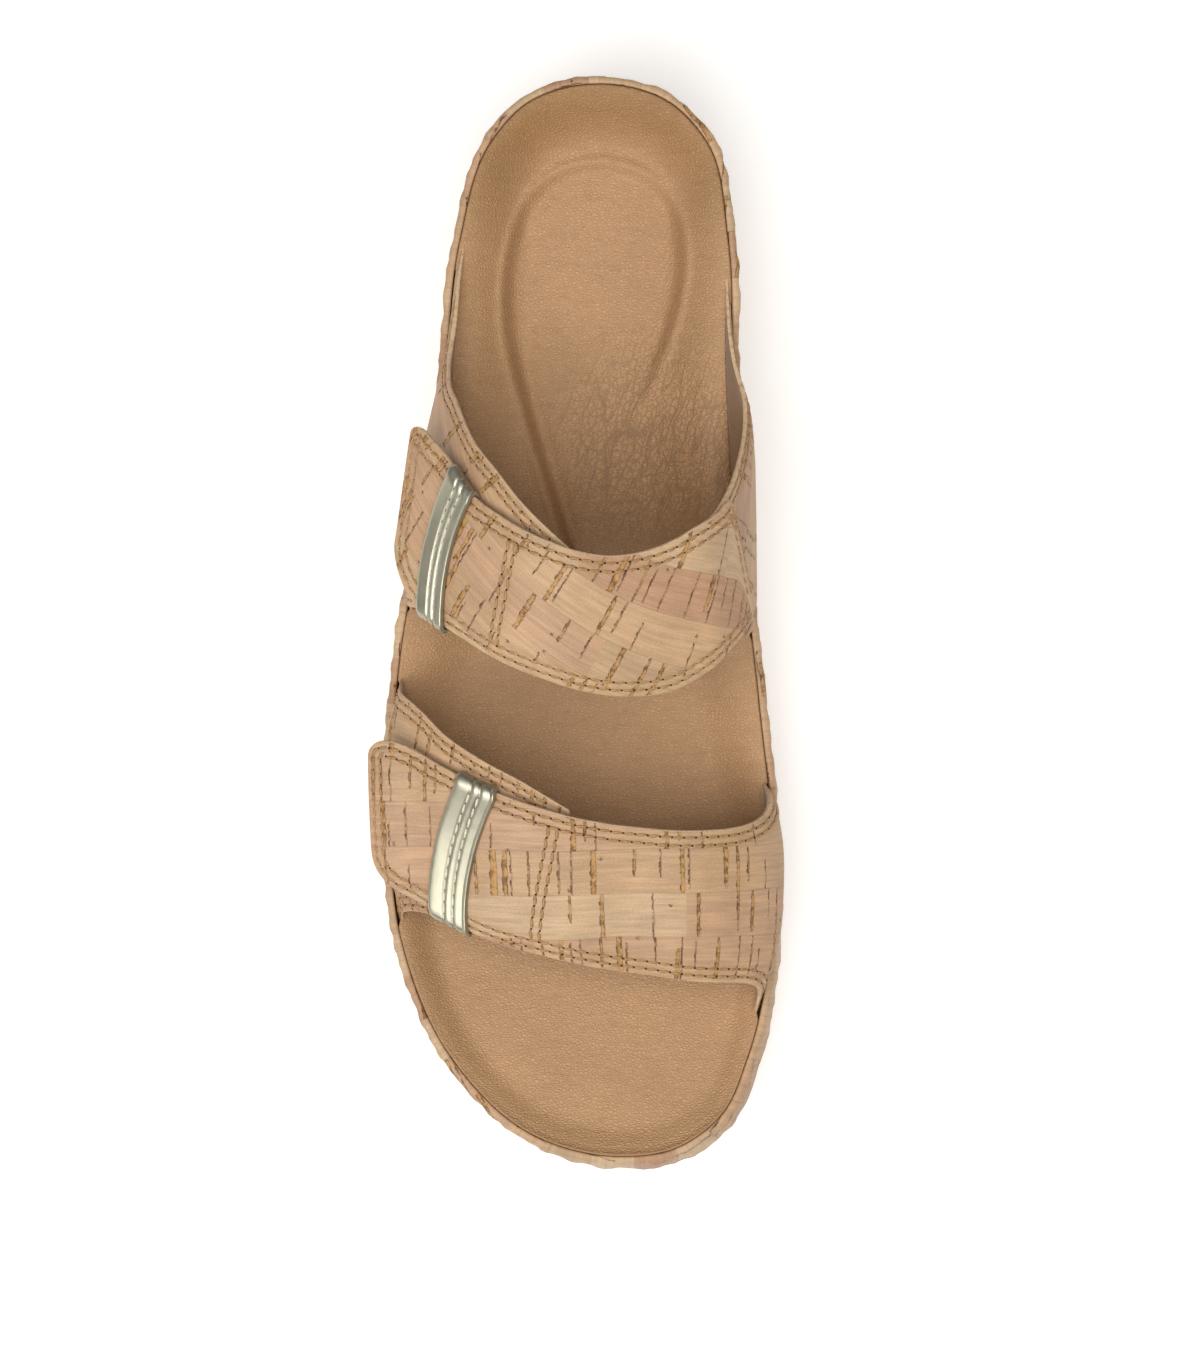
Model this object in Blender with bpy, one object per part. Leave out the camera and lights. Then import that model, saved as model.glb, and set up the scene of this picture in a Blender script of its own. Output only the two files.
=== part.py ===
"""Slide sandal for the right foot: wrapped wedge sole, moulded footbed and two straps that fasten on the outside.

Sizes are in millimetres. "along" runs from the back of the heel to the toe, "across" from the shoe's long axis
towards the inner side of the foot, and heights are above the floor. The toe points to -Y and +X is the inner side.
"""

import math
from collections import namedtuple

import bmesh
import bpy
import numpy as np

METRES = 0.001

# Sole
LENGTH = 252.0
OUTSOLE_THICKNESS = 4.0
OUTSOLE_STEP = 0.5
LIP_THICKNESS = 1.4
LIP_ROUND = 0.6
FIT_GAP = 0.3
WALL_BULGE = 0.7
GROOVE_WIDTH = 2.4
GROOVE_DEPTH = 1.5
GROOVE_PITCH = 11.0
HEEL_GROOVES = (16.0, 6)
FOREFOOT_GROOVES = (160.0, 7)
HEEL_FLAT = (14.0, 74.0)
BALL_FLAT = (156.0, 186.0)
HEEL_BEVEL = 2.0
WAIST_RISE = 1.5
TOE_SPRING = 9.5

# Footbed
FOOTBED_THICKNESS = 5.0
FOOTBED_EDGE_ROUND = 0.9
HEEL_PAD_CENTRE = (60.0, 1.5)
HEEL_PAD_HALF = (42.0, 18.0)
HEEL_PAD_TAPER = 0.28
HEEL_PAD_DEPTH = 1.6
ARCH_CENTRE = (98.0, 30.0)
ARCH_SPREAD = (30.0, 15.0)
ARCH_RISE = 5.0
FLANK_CENTRE = (96.0, -30.0)
FLANK_SPREAD = (34.0, 13.0)
FLANK_RISE = 3.5

# Upper
BASE_THICKNESS = 1.2
STRAP_THICKNESS = 2.0
UNDERLAY_THICKNESS = 1.6
POCKET_DEPTH = 5.0
POCKET_RAMP = 8.0
POCKET_MARGIN = 4.0
POCKET_SLACK = 0.35
OUTER_POWER = 1.8
INNER_POWER = 2.5
BULGE_RISE = 14.0
CROWN_SHARE = 0.56
KEEPER_THICKNESS = 0.9
KEEPER_LINING = 0.5

# Mesh density
SIDE_POINTS = 52
STRAP_ROWS = 7
STRAP_SECTIONS = 34
SIDE_ROWS = 14
SIDE_SECTIONS = 16
KEEPER_SECTIONS = 4
TURN_LENGTH = 75.0

Edge = namedtuple("Edge", "along across lip_in base_in")
OUTLINE = (
    Edge(0.0, -0.5, 0.0, 3.0),
    Edge(4.8, 17.2, 0.0, 2.4),
    Edge(14.0, 25.7, 0.0, 1.6),
    Edge(37.0, 30.8, 0.0, 1.2),
    Edge(69.0, 31.8, 0.0, 3.0),
    Edge(105.0, 34.0, 0.0, 3.4),
    Edge(142.0, 38.2, 0.0, 1.6),
    Edge(180.0, 41.9, 0.2, 0.6),
    Edge(203.0, 41.9, 1.2, 0.0),
    Edge(226.0, 38.0, 2.2, 0.0),
    Edge(241.0, 31.8, 2.8, 0.0),
    Edge(250.3, 19.6, 3.0, 0.0),
    Edge(252.0, 3.0, 2.4, 0.0),
    Edge(245.3, -17.0, 1.0, 0.2),
    Edge(226.5, -35.9, 0.2, 0.8),
    Edge(198.4, -47.7, 0.0, 1.0),
    Edge(165.0, -49.8, 0.0, 1.0),
    Edge(133.0, -47.8, 0.0, 1.4),
    Edge(100.0, -41.8, 0.0, 2.0),
    Edge(68.0, -37.0, 0.0, 1.8),
    Edge(37.0, -33.5, 0.0, 1.2),
    Edge(14.0, -26.2, 0.0, 1.6),
    Edge(4.8, -17.7, 0.0, 2.4),
)
TOE_ROW = 12

Station = namedtuple("Station", "along lip seat crown cup inner_bulge outer_bulge")
STATIONS = (
    Station(0.0, 46.0, 37.0, 98.0, 22.0, 0.0, 0.0),
    Station(15.0, 46.0, 36.5, 100.0, 22.0, 0.0, 0.0),
    Station(45.0, 45.0, 35.5, 101.0, 20.0, 0.5, 0.0),
    Station(80.0, 41.5, 33.0, 96.0, 22.0, 5.4, 4.5),
    Station(110.0, 36.5, 29.0, 84.0, 22.0, 4.4, 5.5),
    Station(143.0, 31.0, 24.5, 69.0, 16.0, 1.5, 5.5),
    Station(172.0, 28.0, 21.5, 56.0, 12.0, 1.0, 5.5),
    Station(205.0, 27.0, 21.5, 45.5, 10.0, 1.0, 3.0),
    Station(232.0, 29.0, 24.0, 40.0, 9.0, 0.0, 0.0),
    Station(252.0, 31.5, 27.0, 38.0, 9.0, 0.0, 0.0),
)

# "turn" is -1 at the outer sole edge, 0 on the crown of the foot and +1 at the inner sole edge.
StrapEdge = namedtuple("StrapEdge", "turn rear front")
INSTEP_STRAP = (
    StrapEdge(-0.728, 79.3, 114.4),
    StrapEdge(-0.62, 86.0, 121.0),
    StrapEdge(-0.54, 91.0, 124.2),
    StrapEdge(-0.46, 96.0, 126.9),
    StrapEdge(-0.33, 100.7, 131.3),
    StrapEdge(-0.16, 105.9, 136.1),
    StrapEdge(0.00, 109.6, 140.3),
    StrapEdge(0.11, 109.9, 141.2),
    StrapEdge(0.31, 106.6, 139.3),
    StrapEdge(0.42, 102.4, 134.9),
    StrapEdge(0.53, 99.8, 129.6),
    StrapEdge(0.58, 106.5, 127.4),
    StrapEdge(0.62, 114.8, 125.0),
    StrapEdge(0.65, 120.4, 123.0),
)
INSTEP_QUARTER = (
    StrapEdge(0.44, 104.0, 131.0),
    StrapEdge(0.54, 99.0, 127.6),
    StrapEdge(0.62, 94.0, 124.2),
    StrapEdge(0.70, 88.0, 123.8),
    StrapEdge(0.76, 83.0, 124.6),
    StrapEdge(0.82, 76.5, 125.8),
    StrapEdge(0.88, 68.0, 127.0),
    StrapEdge(0.94, 56.0, 128.2),
    StrapEdge(1.00, 38.0, 129.0),
)
INSTEP_UNDERLAY = (
    StrapEdge(-1.00, 33.0, 123.0),
    StrapEdge(-0.93, 50.0, 122.0),
    StrapEdge(-0.87, 61.0, 121.0),
    StrapEdge(-0.79, 68.5, 121.0),
    StrapEdge(-0.68, 75.0, 122.0),
    StrapEdge(-0.535, 84.5, 126.0),
    StrapEdge(-0.42, 90.5, 129.5),
    StrapEdge(-0.285, 98.5, 133.0),
    StrapEdge(-0.10, 108.5, 136.0),
)
TOE_STRAP = (
    StrapEdge(-0.75, 150.4, 182.0),
    StrapEdge(-0.67, 151.0, 185.2),
    StrapEdge(-0.54, 155.3, 190.7),
    StrapEdge(-0.395, 159.8, 195.7),
    StrapEdge(-0.175, 165.4, 200.1),
    StrapEdge(0.00, 169.6, 203.6),
    StrapEdge(0.17, 171.2, 205.2),
    StrapEdge(0.36, 171.7, 206.8),
    StrapEdge(0.475, 171.4, 207.1),
    StrapEdge(0.56, 170.6, 207.4),
    StrapEdge(0.66, 168.6, 208.6),
    StrapEdge(0.75, 165.3, 211.0),
    StrapEdge(0.85, 162.8, 215.0),
    StrapEdge(1.00, 160.5, 219.0),
)
TOE_UNDERLAY = (
    StrapEdge(-1.00, 136.0, 199.0),
    StrapEdge(-0.93, 137.6, 195.5),
    StrapEdge(-0.86, 139.0, 192.7),
    StrapEdge(-0.78, 140.6, 191.3),
    StrapEdge(-0.71, 142.3, 191.0),
    StrapEdge(-0.63, 145.2, 191.5),
    StrapEdge(-0.535, 149.8, 192.5),
    StrapEdge(-0.38, 155.8, 195.0),
    StrapEdge(-0.247, 160.5, 197.5),
    StrapEdge(-0.10, 167.0, 200.0),
)

# How far a strap's inner face rides over the foot where it covers another piece, by turn.
Ride = namedtuple("Ride", "turn height")
OUTER_RIDE = (
    Ride(-0.76, 8.5),
    Ride(-0.68, 6.0),
    Ride(-0.60, 3.6),
    Ride(-0.50, 2.8),
    Ride(-0.16, 2.7),
    Ride(-0.10, 2.2),
    Ride(-0.02, 0.8),
    Ride(0.06, 0.0),
)
INSTEP_RIDE = OUTER_RIDE + (
    Ride(0.30, 0.0),
    Ride(0.37, 0.9),
    Ride(0.44, 1.95),
    Ride(0.52, 1.95),
    Ride(0.66, 1.95),
)
TOE_RIDE = OUTER_RIDE + (
    Ride(0.30, 0.0),
    Ride(1.00, 0.0),
)

# Keepers: the band between two turns at mid-strap, how far it slants from rear to front, and its bow halfway.
Band = namedtuple("Band", "low high slant bow")
INSTEP_KEEPER = Band(-0.579, -0.473, -0.055, -0.028)
TOE_KEEPER = Band(-0.503, -0.370, -0.123, -0.020)

Finish = namedtuple("Finish", "colour roughness metallic")
FINISHES = {
    "outsole_rubber": Finish((0.42, 0.31, 0.20), 0.75, 0.0),
    "cork_cloth": Finish((0.60, 0.42, 0.27), 0.70, 0.0),
    "footbed_leather": Finish((0.50, 0.33, 0.17), 0.55, 0.0),
    "gold_leather": Finish((0.72, 0.69, 0.55), 0.30, 0.7),
}


def curve_through(xs, ys):
    """Smooth function through the points of a short table, with each slope taken from both neighbours."""
    xs, ys = np.asarray(xs, float), np.asarray(ys, float)
    slopes = np.gradient(ys, xs)

    def value(x):
        x = np.clip(x, xs[0], xs[-1])
        i = np.clip(np.searchsorted(xs, x, side="right") - 1, 0, len(xs) - 2)
        span = xs[i + 1] - xs[i]
        t = (x - xs[i]) / span
        rise = (2 * t**3 - 3 * t**2 + 1) * ys[i] + (3 * t**2 - 2 * t**3) * ys[i + 1]
        return rise + span * ((t**3 - 2 * t**2 + t) * slopes[i] + (t**3 - t**2) * slopes[i + 1])

    return value


def column(rows, key, name):
    """The named column of a table as a smooth function of its key column."""
    return curve_through([getattr(r, key) for r in rows], [getattr(r, name) for r in rows])


lip_z = column(STATIONS, "along", "lip")
seat_z = column(STATIONS, "along", "seat")
crown_z = column(STATIONS, "along", "crown")
cup_width = column(STATIONS, "along", "cup")
inner_bulge = column(STATIONS, "along", "inner_bulge")
outer_bulge = column(STATIONS, "along", "outer_bulge")


def ease(x):
    """Smooth step from 0 to 1."""
    x = np.clip(x, 0.0, 1.0)
    return x * x * (3 - 2 * x)


def floor_z(along):
    """Underside of the sole: flat under heel and ball, hollow at the waist, turned up at heel and toe."""
    along = np.asarray(along, float)
    heel = HEEL_BEVEL * ease(1 - along / HEEL_FLAT[0])
    waist = WAIST_RISE * ease((along - HEEL_FLAT[1]) / 22) * ease((BALL_FLAT[0] - along) / 26)
    toe = TOE_SPRING * np.clip((along - BALL_FLAT[1]) / (LENGTH - BALL_FLAT[1]), 0, 1) ** 1.7
    return heel + waist + toe


def closed_outline(rows, points_a_side):
    """The closed outline table as evenly spaced rows: heel, inner side, toe, outer side."""
    table = np.array(rows, float)
    count = len(table)
    ahead, behind = np.roll(table, -1, 0), np.roll(table, 1, 0)
    step_on = np.linalg.norm((ahead - table)[:, :2], axis=1)[:, None]
    step_back = np.linalg.norm((table - behind)[:, :2], axis=1)[:, None]
    slope = (ahead - table) / step_on * step_back + (table - behind) / step_back * step_on
    slope /= step_on + step_back
    halves = []
    for first, last in ((0, TOE_ROW), (TOE_ROW, count)):
        fine = []
        for i in range(first, last):
            j = (i + 1) % count
            t = np.linspace(0, 1, 40, endpoint=False)[:, None]
            fine.append(
                (2 * t**3 - 3 * t**2 + 1) * table[i]
                + (3 * t**2 - 2 * t**3) * table[j]
                + step_on[i] * ((t**3 - 2 * t**2 + t) * slope[i] + (t**3 - t**2) * slope[j])
            )
        fine = np.vstack(fine + [table[last % count][None]])
        length = np.concatenate([[0], np.cumsum(np.linalg.norm(np.diff(fine[:, :2], axis=0), axis=1))])
        wanted = np.linspace(0, length[-1], points_a_side, endpoint=False)
        halves.append(np.column_stack([np.interp(wanted, length, fine[:, k]) for k in range(fine.shape[1])]))
    return np.vstack(halves)


RIM = closed_outline(OUTLINE, SIDE_POINTS)


def outward(rows):
    """Unit normals of a closed plan outline, pointing away from the shoe."""
    tangent = np.roll(rows[:, :2], -1, 0) - np.roll(rows[:, :2], 1, 0)
    normal = np.column_stack([-tangent[:, 1], tangent[:, 0]])
    normal /= np.linalg.norm(normal, axis=1)[:, None]
    middle = rows[:, :2].mean(0)
    return normal * np.sign(((rows[:, :2] - middle) * normal).sum(1).sum())


RIM_OUT = outward(RIM)


def ring(inset):
    """The outline taken in by a distance, as (along, across) rows."""
    return RIM[:, :2] - RIM_OUT * np.broadcast_to(inset, len(RIM))[:, None]


def base_line(inner_side):
    """Function giving the across place of the upper's inside where it leaves the sole, by along."""
    inset = RIM[:, 2] + LIP_THICKNESS + FIT_GAP + BASE_THICKNESS
    line = ring(inset)
    half = line[: SIDE_POINTS + 1] if inner_side else line[SIDE_POINTS:][::-1]
    order = np.argsort(half[:, 0])
    return curve_through(half[order, 0], half[order, 1])


inner_base = base_line(True)
outer_base = base_line(False)


def foot_surface(along, turn):
    """Inside of the upper, as (across, along, height) points."""
    along, turn = np.broadcast_arrays(np.asarray(along, float), np.asarray(turn, float))
    outer = turn < 0
    side = np.where(outer, outer_base(along), inner_base(along))
    crown_x = outer_base(along) + CROWN_SHARE * (inner_base(along) - outer_base(along))
    foot = lip_z(along) - POCKET_DEPTH
    power = np.where(outer, OUTER_POWER, INNER_POWER)
    angle = (1 - np.abs(turn)) * math.pi / 2
    reach = (np.cos(angle) ** power + np.sin(angle) ** power) ** (-1 / power)
    rise = reach * np.sin(angle)
    lift = (crown_z(along) - foot) * rise
    swell = np.where(outer, -outer_bulge(along), inner_bulge(along))
    swell = swell * ease((lift - POCKET_DEPTH + 1) / BULGE_RISE) * (1 - rise)
    lean = (crown_x - side) * (1 - reach * np.cos(angle)) * ease((lift - 2) / 10)
    return np.stack([side + lean + swell, along, foot + lift], -1)


def foot_normal(along, turn):
    """Unit normals of the upper's inside, pointing away from the foot."""
    d_along, d_turn = 0.5, 0.004
    low, high = np.maximum(turn - d_turn, -1.0), np.minimum(turn + d_turn, 1.0)
    down = foot_surface(along + d_along, turn) - foot_surface(along - d_along, turn)
    over = foot_surface(along, high) - foot_surface(along, low)
    normal = np.cross(over, down)
    normal /= np.linalg.norm(normal, axis=-1)[..., None]
    return normal


def over_foot(along, turn, height):
    """Point at a height over the upper's inside."""
    return foot_surface(along, turn) + foot_normal(along, turn) * np.asarray(height)[..., None]


def wall_thickness(along, turn, full):
    """Upper thickness, thinned where it goes down between footbed and lip."""
    clear = foot_surface(along, turn)[..., 2] - lip_z(along)
    return BASE_THICKNESS + (full - BASE_THICKNESS) * ease(clear / 8.0)


def new_object(name, builder, finish):
    """Named mesh object from a filled bmesh, with its material, faces pointing out."""
    builder.normal_update()
    bmesh.ops.recalc_face_normals(builder, faces=builder.faces)
    mesh = bpy.data.meshes.new(name)
    builder.to_mesh(mesh)
    builder.free()
    mesh.shade_smooth()
    mesh.set_sharp_from_angle(angle=math.radians(40))
    obj = bpy.data.objects.new(name, mesh)
    bpy.context.scene.collection.objects.link(obj)
    obj.data.materials.append(material(finish))
    return obj


def material(name):
    found = bpy.data.materials.get(name)
    if found:
        return found
    made = bpy.data.materials.new(name)
    made.use_nodes = True
    shader = made.node_tree.nodes["Principled BSDF"]
    finish = FINISHES[name]
    shader.inputs["Base Color"].default_value = (*finish.colour, 1.0)
    shader.inputs["Roughness"].default_value = finish.roughness
    shader.inputs["Metallic"].default_value = finish.metallic
    return made


def add_loop(builder, points):
    """Vertices for (across, along, height) points, turned into the shoe's own axes in metres."""
    return [builder.verts.new((x * METRES, (LENGTH / 2 - a) * METRES, z * METRES)) for x, a, z in points]


def bridge(builder, first, second, closed=True):
    count = len(first)
    for i in range(count if closed else count - 1):
        j = (i + 1) % count
        builder.faces.new((first[i], first[j], second[j], second[i]))


def close_plan_loop(builder, loop):
    """Closes a loop that runs heel, inner side, toe, outer side, with strips from side to side."""
    count = len(loop)
    half = count // 2
    builder.faces.new((loop[0], loop[1], loop[-1]))
    for i in range(1, half - 1):
        builder.faces.new((loop[i], loop[i + 1], loop[count - i - 1], loop[count - i]))
    builder.faces.new((loop[half - 1], loop[half], loop[half + 1]))


def at_height(plan, height):
    """(across, along, height) rows from plan rows."""
    return np.column_stack([plan[:, 1], plan[:, 0], np.broadcast_to(height, len(plan))])


def plan_solid(name, loops, finish):
    """Solid from stacked plan loops, closed at the first and the last."""
    builder = bmesh.new()
    made = [add_loop(builder, loop) for loop in loops]
    for low, high in zip(made, made[1:]):
        bridge(builder, low, high)
    close_plan_loop(builder, made[0])
    close_plan_loop(builder, made[-1])
    return new_object(name, builder, finish)


def outsole():
    """Rubber sole with toe spring, cut across by shallow tread grooves."""
    under = floor_z(RIM[:, 0])
    top = under + OUTSOLE_THICKNESS
    edge = RIM[:, 3] + OUTSOLE_STEP
    flange = RIM[:, 3] * 0.5
    loops = [
        at_height(ring(edge + 1.2), under),
        at_height(ring(flange), under + 1.2),
        at_height(ring(flange), top - 0.6),
        at_height(ring(edge), top),
    ]
    sole = plan_solid("outsole", loops, "outsole_rubber")
    cutter = groove_cutter()
    cut = sole.modifiers.new("tread", "BOOLEAN")
    cut.object = cutter
    cut.operation = "DIFFERENCE"
    return sole


def groove_cutter():
    """One hidden object holding a bar for each tread groove."""
    builder = bmesh.new()
    for start, count in (HEEL_GROOVES, FOREFOOT_GROOVES):
        for i in range(count):
            along = start + i * GROOVE_PITCH
            bar = bmesh.ops.create_cube(builder, size=1.0)["verts"]
            size = (0.14, GROOVE_WIDTH * METRES, 2 * GROOVE_DEPTH * METRES)
            bmesh.ops.scale(builder, verts=bar, vec=size)
            place = (0.0, (LENGTH / 2 - along) * METRES, floor_z(along) * METRES)
            bmesh.ops.translate(builder, verts=bar, vec=place)
    cutter = new_object("groove_cutter", builder, "outsole_rubber")
    cutter.hide_render = True
    cutter.display_type = "WIRE"
    return cutter


def midsole():
    """Cloth-wrapped wedge: outer wall, lip round the footbed and the tray that holds it."""
    along = RIM[:, 0]
    under = floor_z(along) + OUTSOLE_THICKNESS + FIT_GAP
    lip = lip_z(along)
    lip_in, base_in = RIM[:, 2], RIM[:, 3]
    tray = seat_z(along) - FOOTBED_THICKNESS - FIT_GAP

    def wall(share, bulge):
        return at_height(ring(base_in + (lip_in - base_in) * share - bulge), under + (lip - under) * share)

    inside = lip_in + LIP_THICKNESS
    loops = [
        at_height(ring(base_in + 0.5), under),
        wall(0.04, 0.0),
        wall(0.3, WALL_BULGE),
        wall(0.65, WALL_BULGE),
        at_height(ring(lip_in), lip - LIP_ROUND),
        at_height(ring(lip_in + LIP_ROUND * 0.6), lip),
        at_height(ring(inside - LIP_ROUND * 0.4), lip),
        at_height(ring(inside), lip - LIP_ROUND),
        at_height(ring(inside), tray),
    ]
    return plan_solid("midsole", loops, "cork_cloth")


def strap_window(along, inner_side):
    """1 where a strap goes down beside the footbed, 0 elsewhere, with soft ends."""
    tables = (INSTEP_QUARTER, TOE_STRAP) if inner_side else (INSTEP_UNDERLAY, TOE_UNDERLAY)
    open_here = np.zeros_like(along)
    for table in tables:
        row = table[-1] if inner_side else table[0]
        rear = ease((along - row.rear + POCKET_MARGIN + POCKET_RAMP) / POCKET_RAMP)
        front = ease((row.front + POCKET_MARGIN + POCKET_RAMP - along) / POCKET_RAMP)
        open_here = np.maximum(open_here, rear * front)
    return open_here


def footbed_inset():
    """How far the footbed's side stands in from the outline."""
    along = RIM[:, 0]
    inner = np.arange(len(RIM)) <= SIDE_POINTS
    window = np.where(inner, strap_window(along, True), strap_window(along, False))
    return RIM[:, 2] + LIP_THICKNESS + FIT_GAP + window * (BASE_THICKNESS + FIT_GAP + POCKET_SLACK)


def bump(along, across, centre, spread):
    return np.exp(-(((along - centre[0]) / spread[0]) ** 2) - ((across - centre[1]) / spread[1]) ** 2)


def footbed_height(along, across, edge):
    """Top of the footbed: cupped heel with a pressed pad, arch and outer flank, shallow rim round the toe."""
    rim = lip_z(along) + 0.2
    seat = seat_z(along)
    height = seat + (rim - seat) * ease(1 - edge / cup_width(along))
    off = (along - HEEL_PAD_CENTRE[0]) / HEEL_PAD_HALF[0]
    half_width = HEEL_PAD_HALF[1] * (1 - HEEL_PAD_TAPER * off)
    oval = np.hypot(off, (across - HEEL_PAD_CENTRE[1]) / half_width)
    height = height - HEEL_PAD_DEPTH * ease((1.06 - oval) / 0.16)
    height = height + ARCH_RISE * bump(along, across, ARCH_CENTRE, ARCH_SPREAD) * ease(edge / 8.0)
    return height + FLANK_RISE * bump(along, across, FLANK_CENTRE, FLANK_SPREAD) * ease(edge / 8.0)


def footbed():
    """Moulded insole that drops into the midsole's tray."""
    inset = footbed_inset()
    edge = ring(inset)
    partner = edge[(-np.arange(len(edge))) % len(edge)]
    spine = (edge + partner) / 2
    spine[:, 0] = np.clip(spine[:, 0], 30.0, LENGTH - 38.0)
    under = seat_z(RIM[:, 0]) - FOOTBED_THICKNESS
    side = lip_z(RIM[:, 0]) + 0.2
    loops = [
        at_height(ring(inset + 0.4), under),
        at_height(edge, under + 0.6),
        at_height(edge, side - FOOTBED_EDGE_ROUND),
        at_height(ring(inset + FOOTBED_EDGE_ROUND * 0.3), side - FOOTBED_EDGE_ROUND * 0.3),
    ]
    for share in (0.035, 0.09, 0.17, 0.27, 0.38, 0.5, 0.64, 0.8, 0.93):
        plan = edge + (spine - edge) * share
        depth = np.linalg.norm(plan - edge, axis=1)
        loops.append(at_height(plan, footbed_height(plan[:, 0], plan[:, 1], depth)))
    return plan_solid("footbed", loops, "footbed_leather")


def corner_cut(gone, radius):
    """How much a round corner takes off an edge, this far from the free end."""
    left = max(0.0, radius - gone)
    return radius - math.sqrt(max(0.0, radius**2 - left**2))


def strap_wall(name, table, ride, full, turns, rows, corners=(0.0, 0.0)):
    """Wall between a table's rear and front edges: inner and outer face, closed at both ends.

    The first turn is a free end when corner radii are given.
    """
    rear, front = column(table, "turn", "rear"), column(table, "turn", "front")
    builder = bmesh.new()
    loops = []
    for turn in turns:
        gone = (turn - turns[0]) * TURN_LENGTH
        first = rear(turn) + corner_cut(gone, corners[0])
        last = front(turn) - corner_cut(gone, corners[1])
        stations = np.linspace(first, last, rows)
        inner = over_foot(stations, turn, np.full_like(stations, ride(turn)))
        outer = over_foot(stations, turn, ride(turn) + wall_thickness(stations, turn, full))
        loops.append(add_loop(builder, np.vstack([inner, outer[::-1]])))
    for low, high in zip(loops, loops[1:]):
        bridge(builder, low, high)
    for loop in (loops[0], loops[-1]):
        for i in range(rows - 1):
            builder.faces.new((loop[i], loop[i + 1], loop[-i - 2], loop[-i - 1]))
    return new_object(name, builder, "cork_cloth")


def strap(name, table, ride_table, corners):
    """Strap with a free fastening tab at its outer end."""
    start, end = table[0].turn, table[-1].turn
    tab = start + np.array([0.0, 0.004, 0.012, 0.025, 0.045, 0.07, 0.1])
    turns = np.concatenate([tab, np.linspace(start + 0.14, end, STRAP_SECTIONS)])
    ride = column(ride_table, "turn", "height")
    return strap_wall(name, table, ride, STRAP_THICKNESS, turns, STRAP_ROWS, corners)


def side_piece(name, table):
    """Part of the upper that stands in the sole and ends under a strap."""
    turns = np.linspace(table[0].turn, table[-1].turn, SIDE_SECTIONS)
    return strap_wall(name, table, lambda turn: 0.0, UNDERLAY_THICKNESS, turns, SIDE_ROWS)


def keeper(name, table, ride_table, band):
    """Gold loop round the strap: inner and outer ring of points at places side by side along the strap."""
    rear, front = column(table, "turn", "rear"), column(table, "turn", "front")
    ride = column(ride_table, "turn", "height")
    share = np.linspace(0, 1, STRAP_ROWS)
    builder = bmesh.new()
    rings = []
    for middle in np.linspace(band.low, band.high, KEEPER_SECTIONS):
        turn = middle + band.slant * (share - 0.5) + band.bow * (1 - (2 * share - 1) ** 2)
        pair = []
        for under, over in ((FIT_GAP, FIT_GAP), (FIT_GAP + KEEPER_LINING, FIT_GAP + KEEPER_THICKNESS)):
            first, last = rear(turn) - over, front(turn) + over
            stations = first + (last - first) * share
            bottom = over_foot(stations, turn, ride(turn) - under)
            top = over_foot(stations, turn, ride(turn) + STRAP_THICKNESS + over)
            pair.append(add_loop(builder, np.vstack([bottom, top[::-1]])))
        rings.append(pair)
    for one, two in zip(rings, rings[1:]):
        bridge(builder, one[0], two[0])
        bridge(builder, one[1], two[1])
    for inside, outside in (rings[0], rings[-1]):
        bridge(builder, inside, outside)
    return new_object(name, builder, "gold_leather")


def clear_scene():
    for obj in list(bpy.data.objects):
        bpy.data.objects.remove(obj, do_unlink=True)


def centre_on_floor(pieces):
    """Parents the pieces to an empty placed so that the origin is under the middle of their box."""
    corners = np.array([v.co for piece in pieces for v in piece.data.vertices])
    low, high = corners.min(0), corners.max(0)
    root = bpy.data.objects.new("sandal", None)
    bpy.context.scene.collection.objects.link(root)
    root.location = (-(low[0] + high[0]) / 2, -(low[1] + high[1]) / 2, -low[2])
    for piece in pieces:
        piece.parent = root
    bpy.data.objects["groove_cutter"].parent = root


def main():
    clear_scene()
    pieces = [
        outsole(),
        midsole(),
        footbed(),
        strap("instep_strap", INSTEP_STRAP, INSTEP_RIDE, (4.0, 8.5)),
        side_piece("instep_underlay", INSTEP_UNDERLAY),
        side_piece("instep_quarter", INSTEP_QUARTER),
        keeper("instep_keeper", INSTEP_STRAP, INSTEP_RIDE, INSTEP_KEEPER),
        strap("toe_strap", TOE_STRAP, TOE_RIDE, (4.0, 6.0)),
        side_piece("toe_underlay", TOE_UNDERLAY),
        keeper("toe_keeper", TOE_STRAP, TOE_RIDE, TOE_KEEPER),
    ]
    centre_on_floor(pieces)


if __name__ == "__main__":
    main()
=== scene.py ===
"""Looks of a slide sandal for the right foot: cork straps, wrapped sole, leather footbed and gold keepers.

Lengths in the tables are in millimetres. "along" runs from the back of the heel to the toe, "across" from
the shoe's long axis towards the inner side of the foot, and "turn" over the foot from -1 at the outer edge
of the sole through 0 on the crown to +1 at the inner edge.
"""

import math
from collections import namedtuple
from functools import partial

import bpy
import numpy as np
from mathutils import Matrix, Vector, noise


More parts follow.
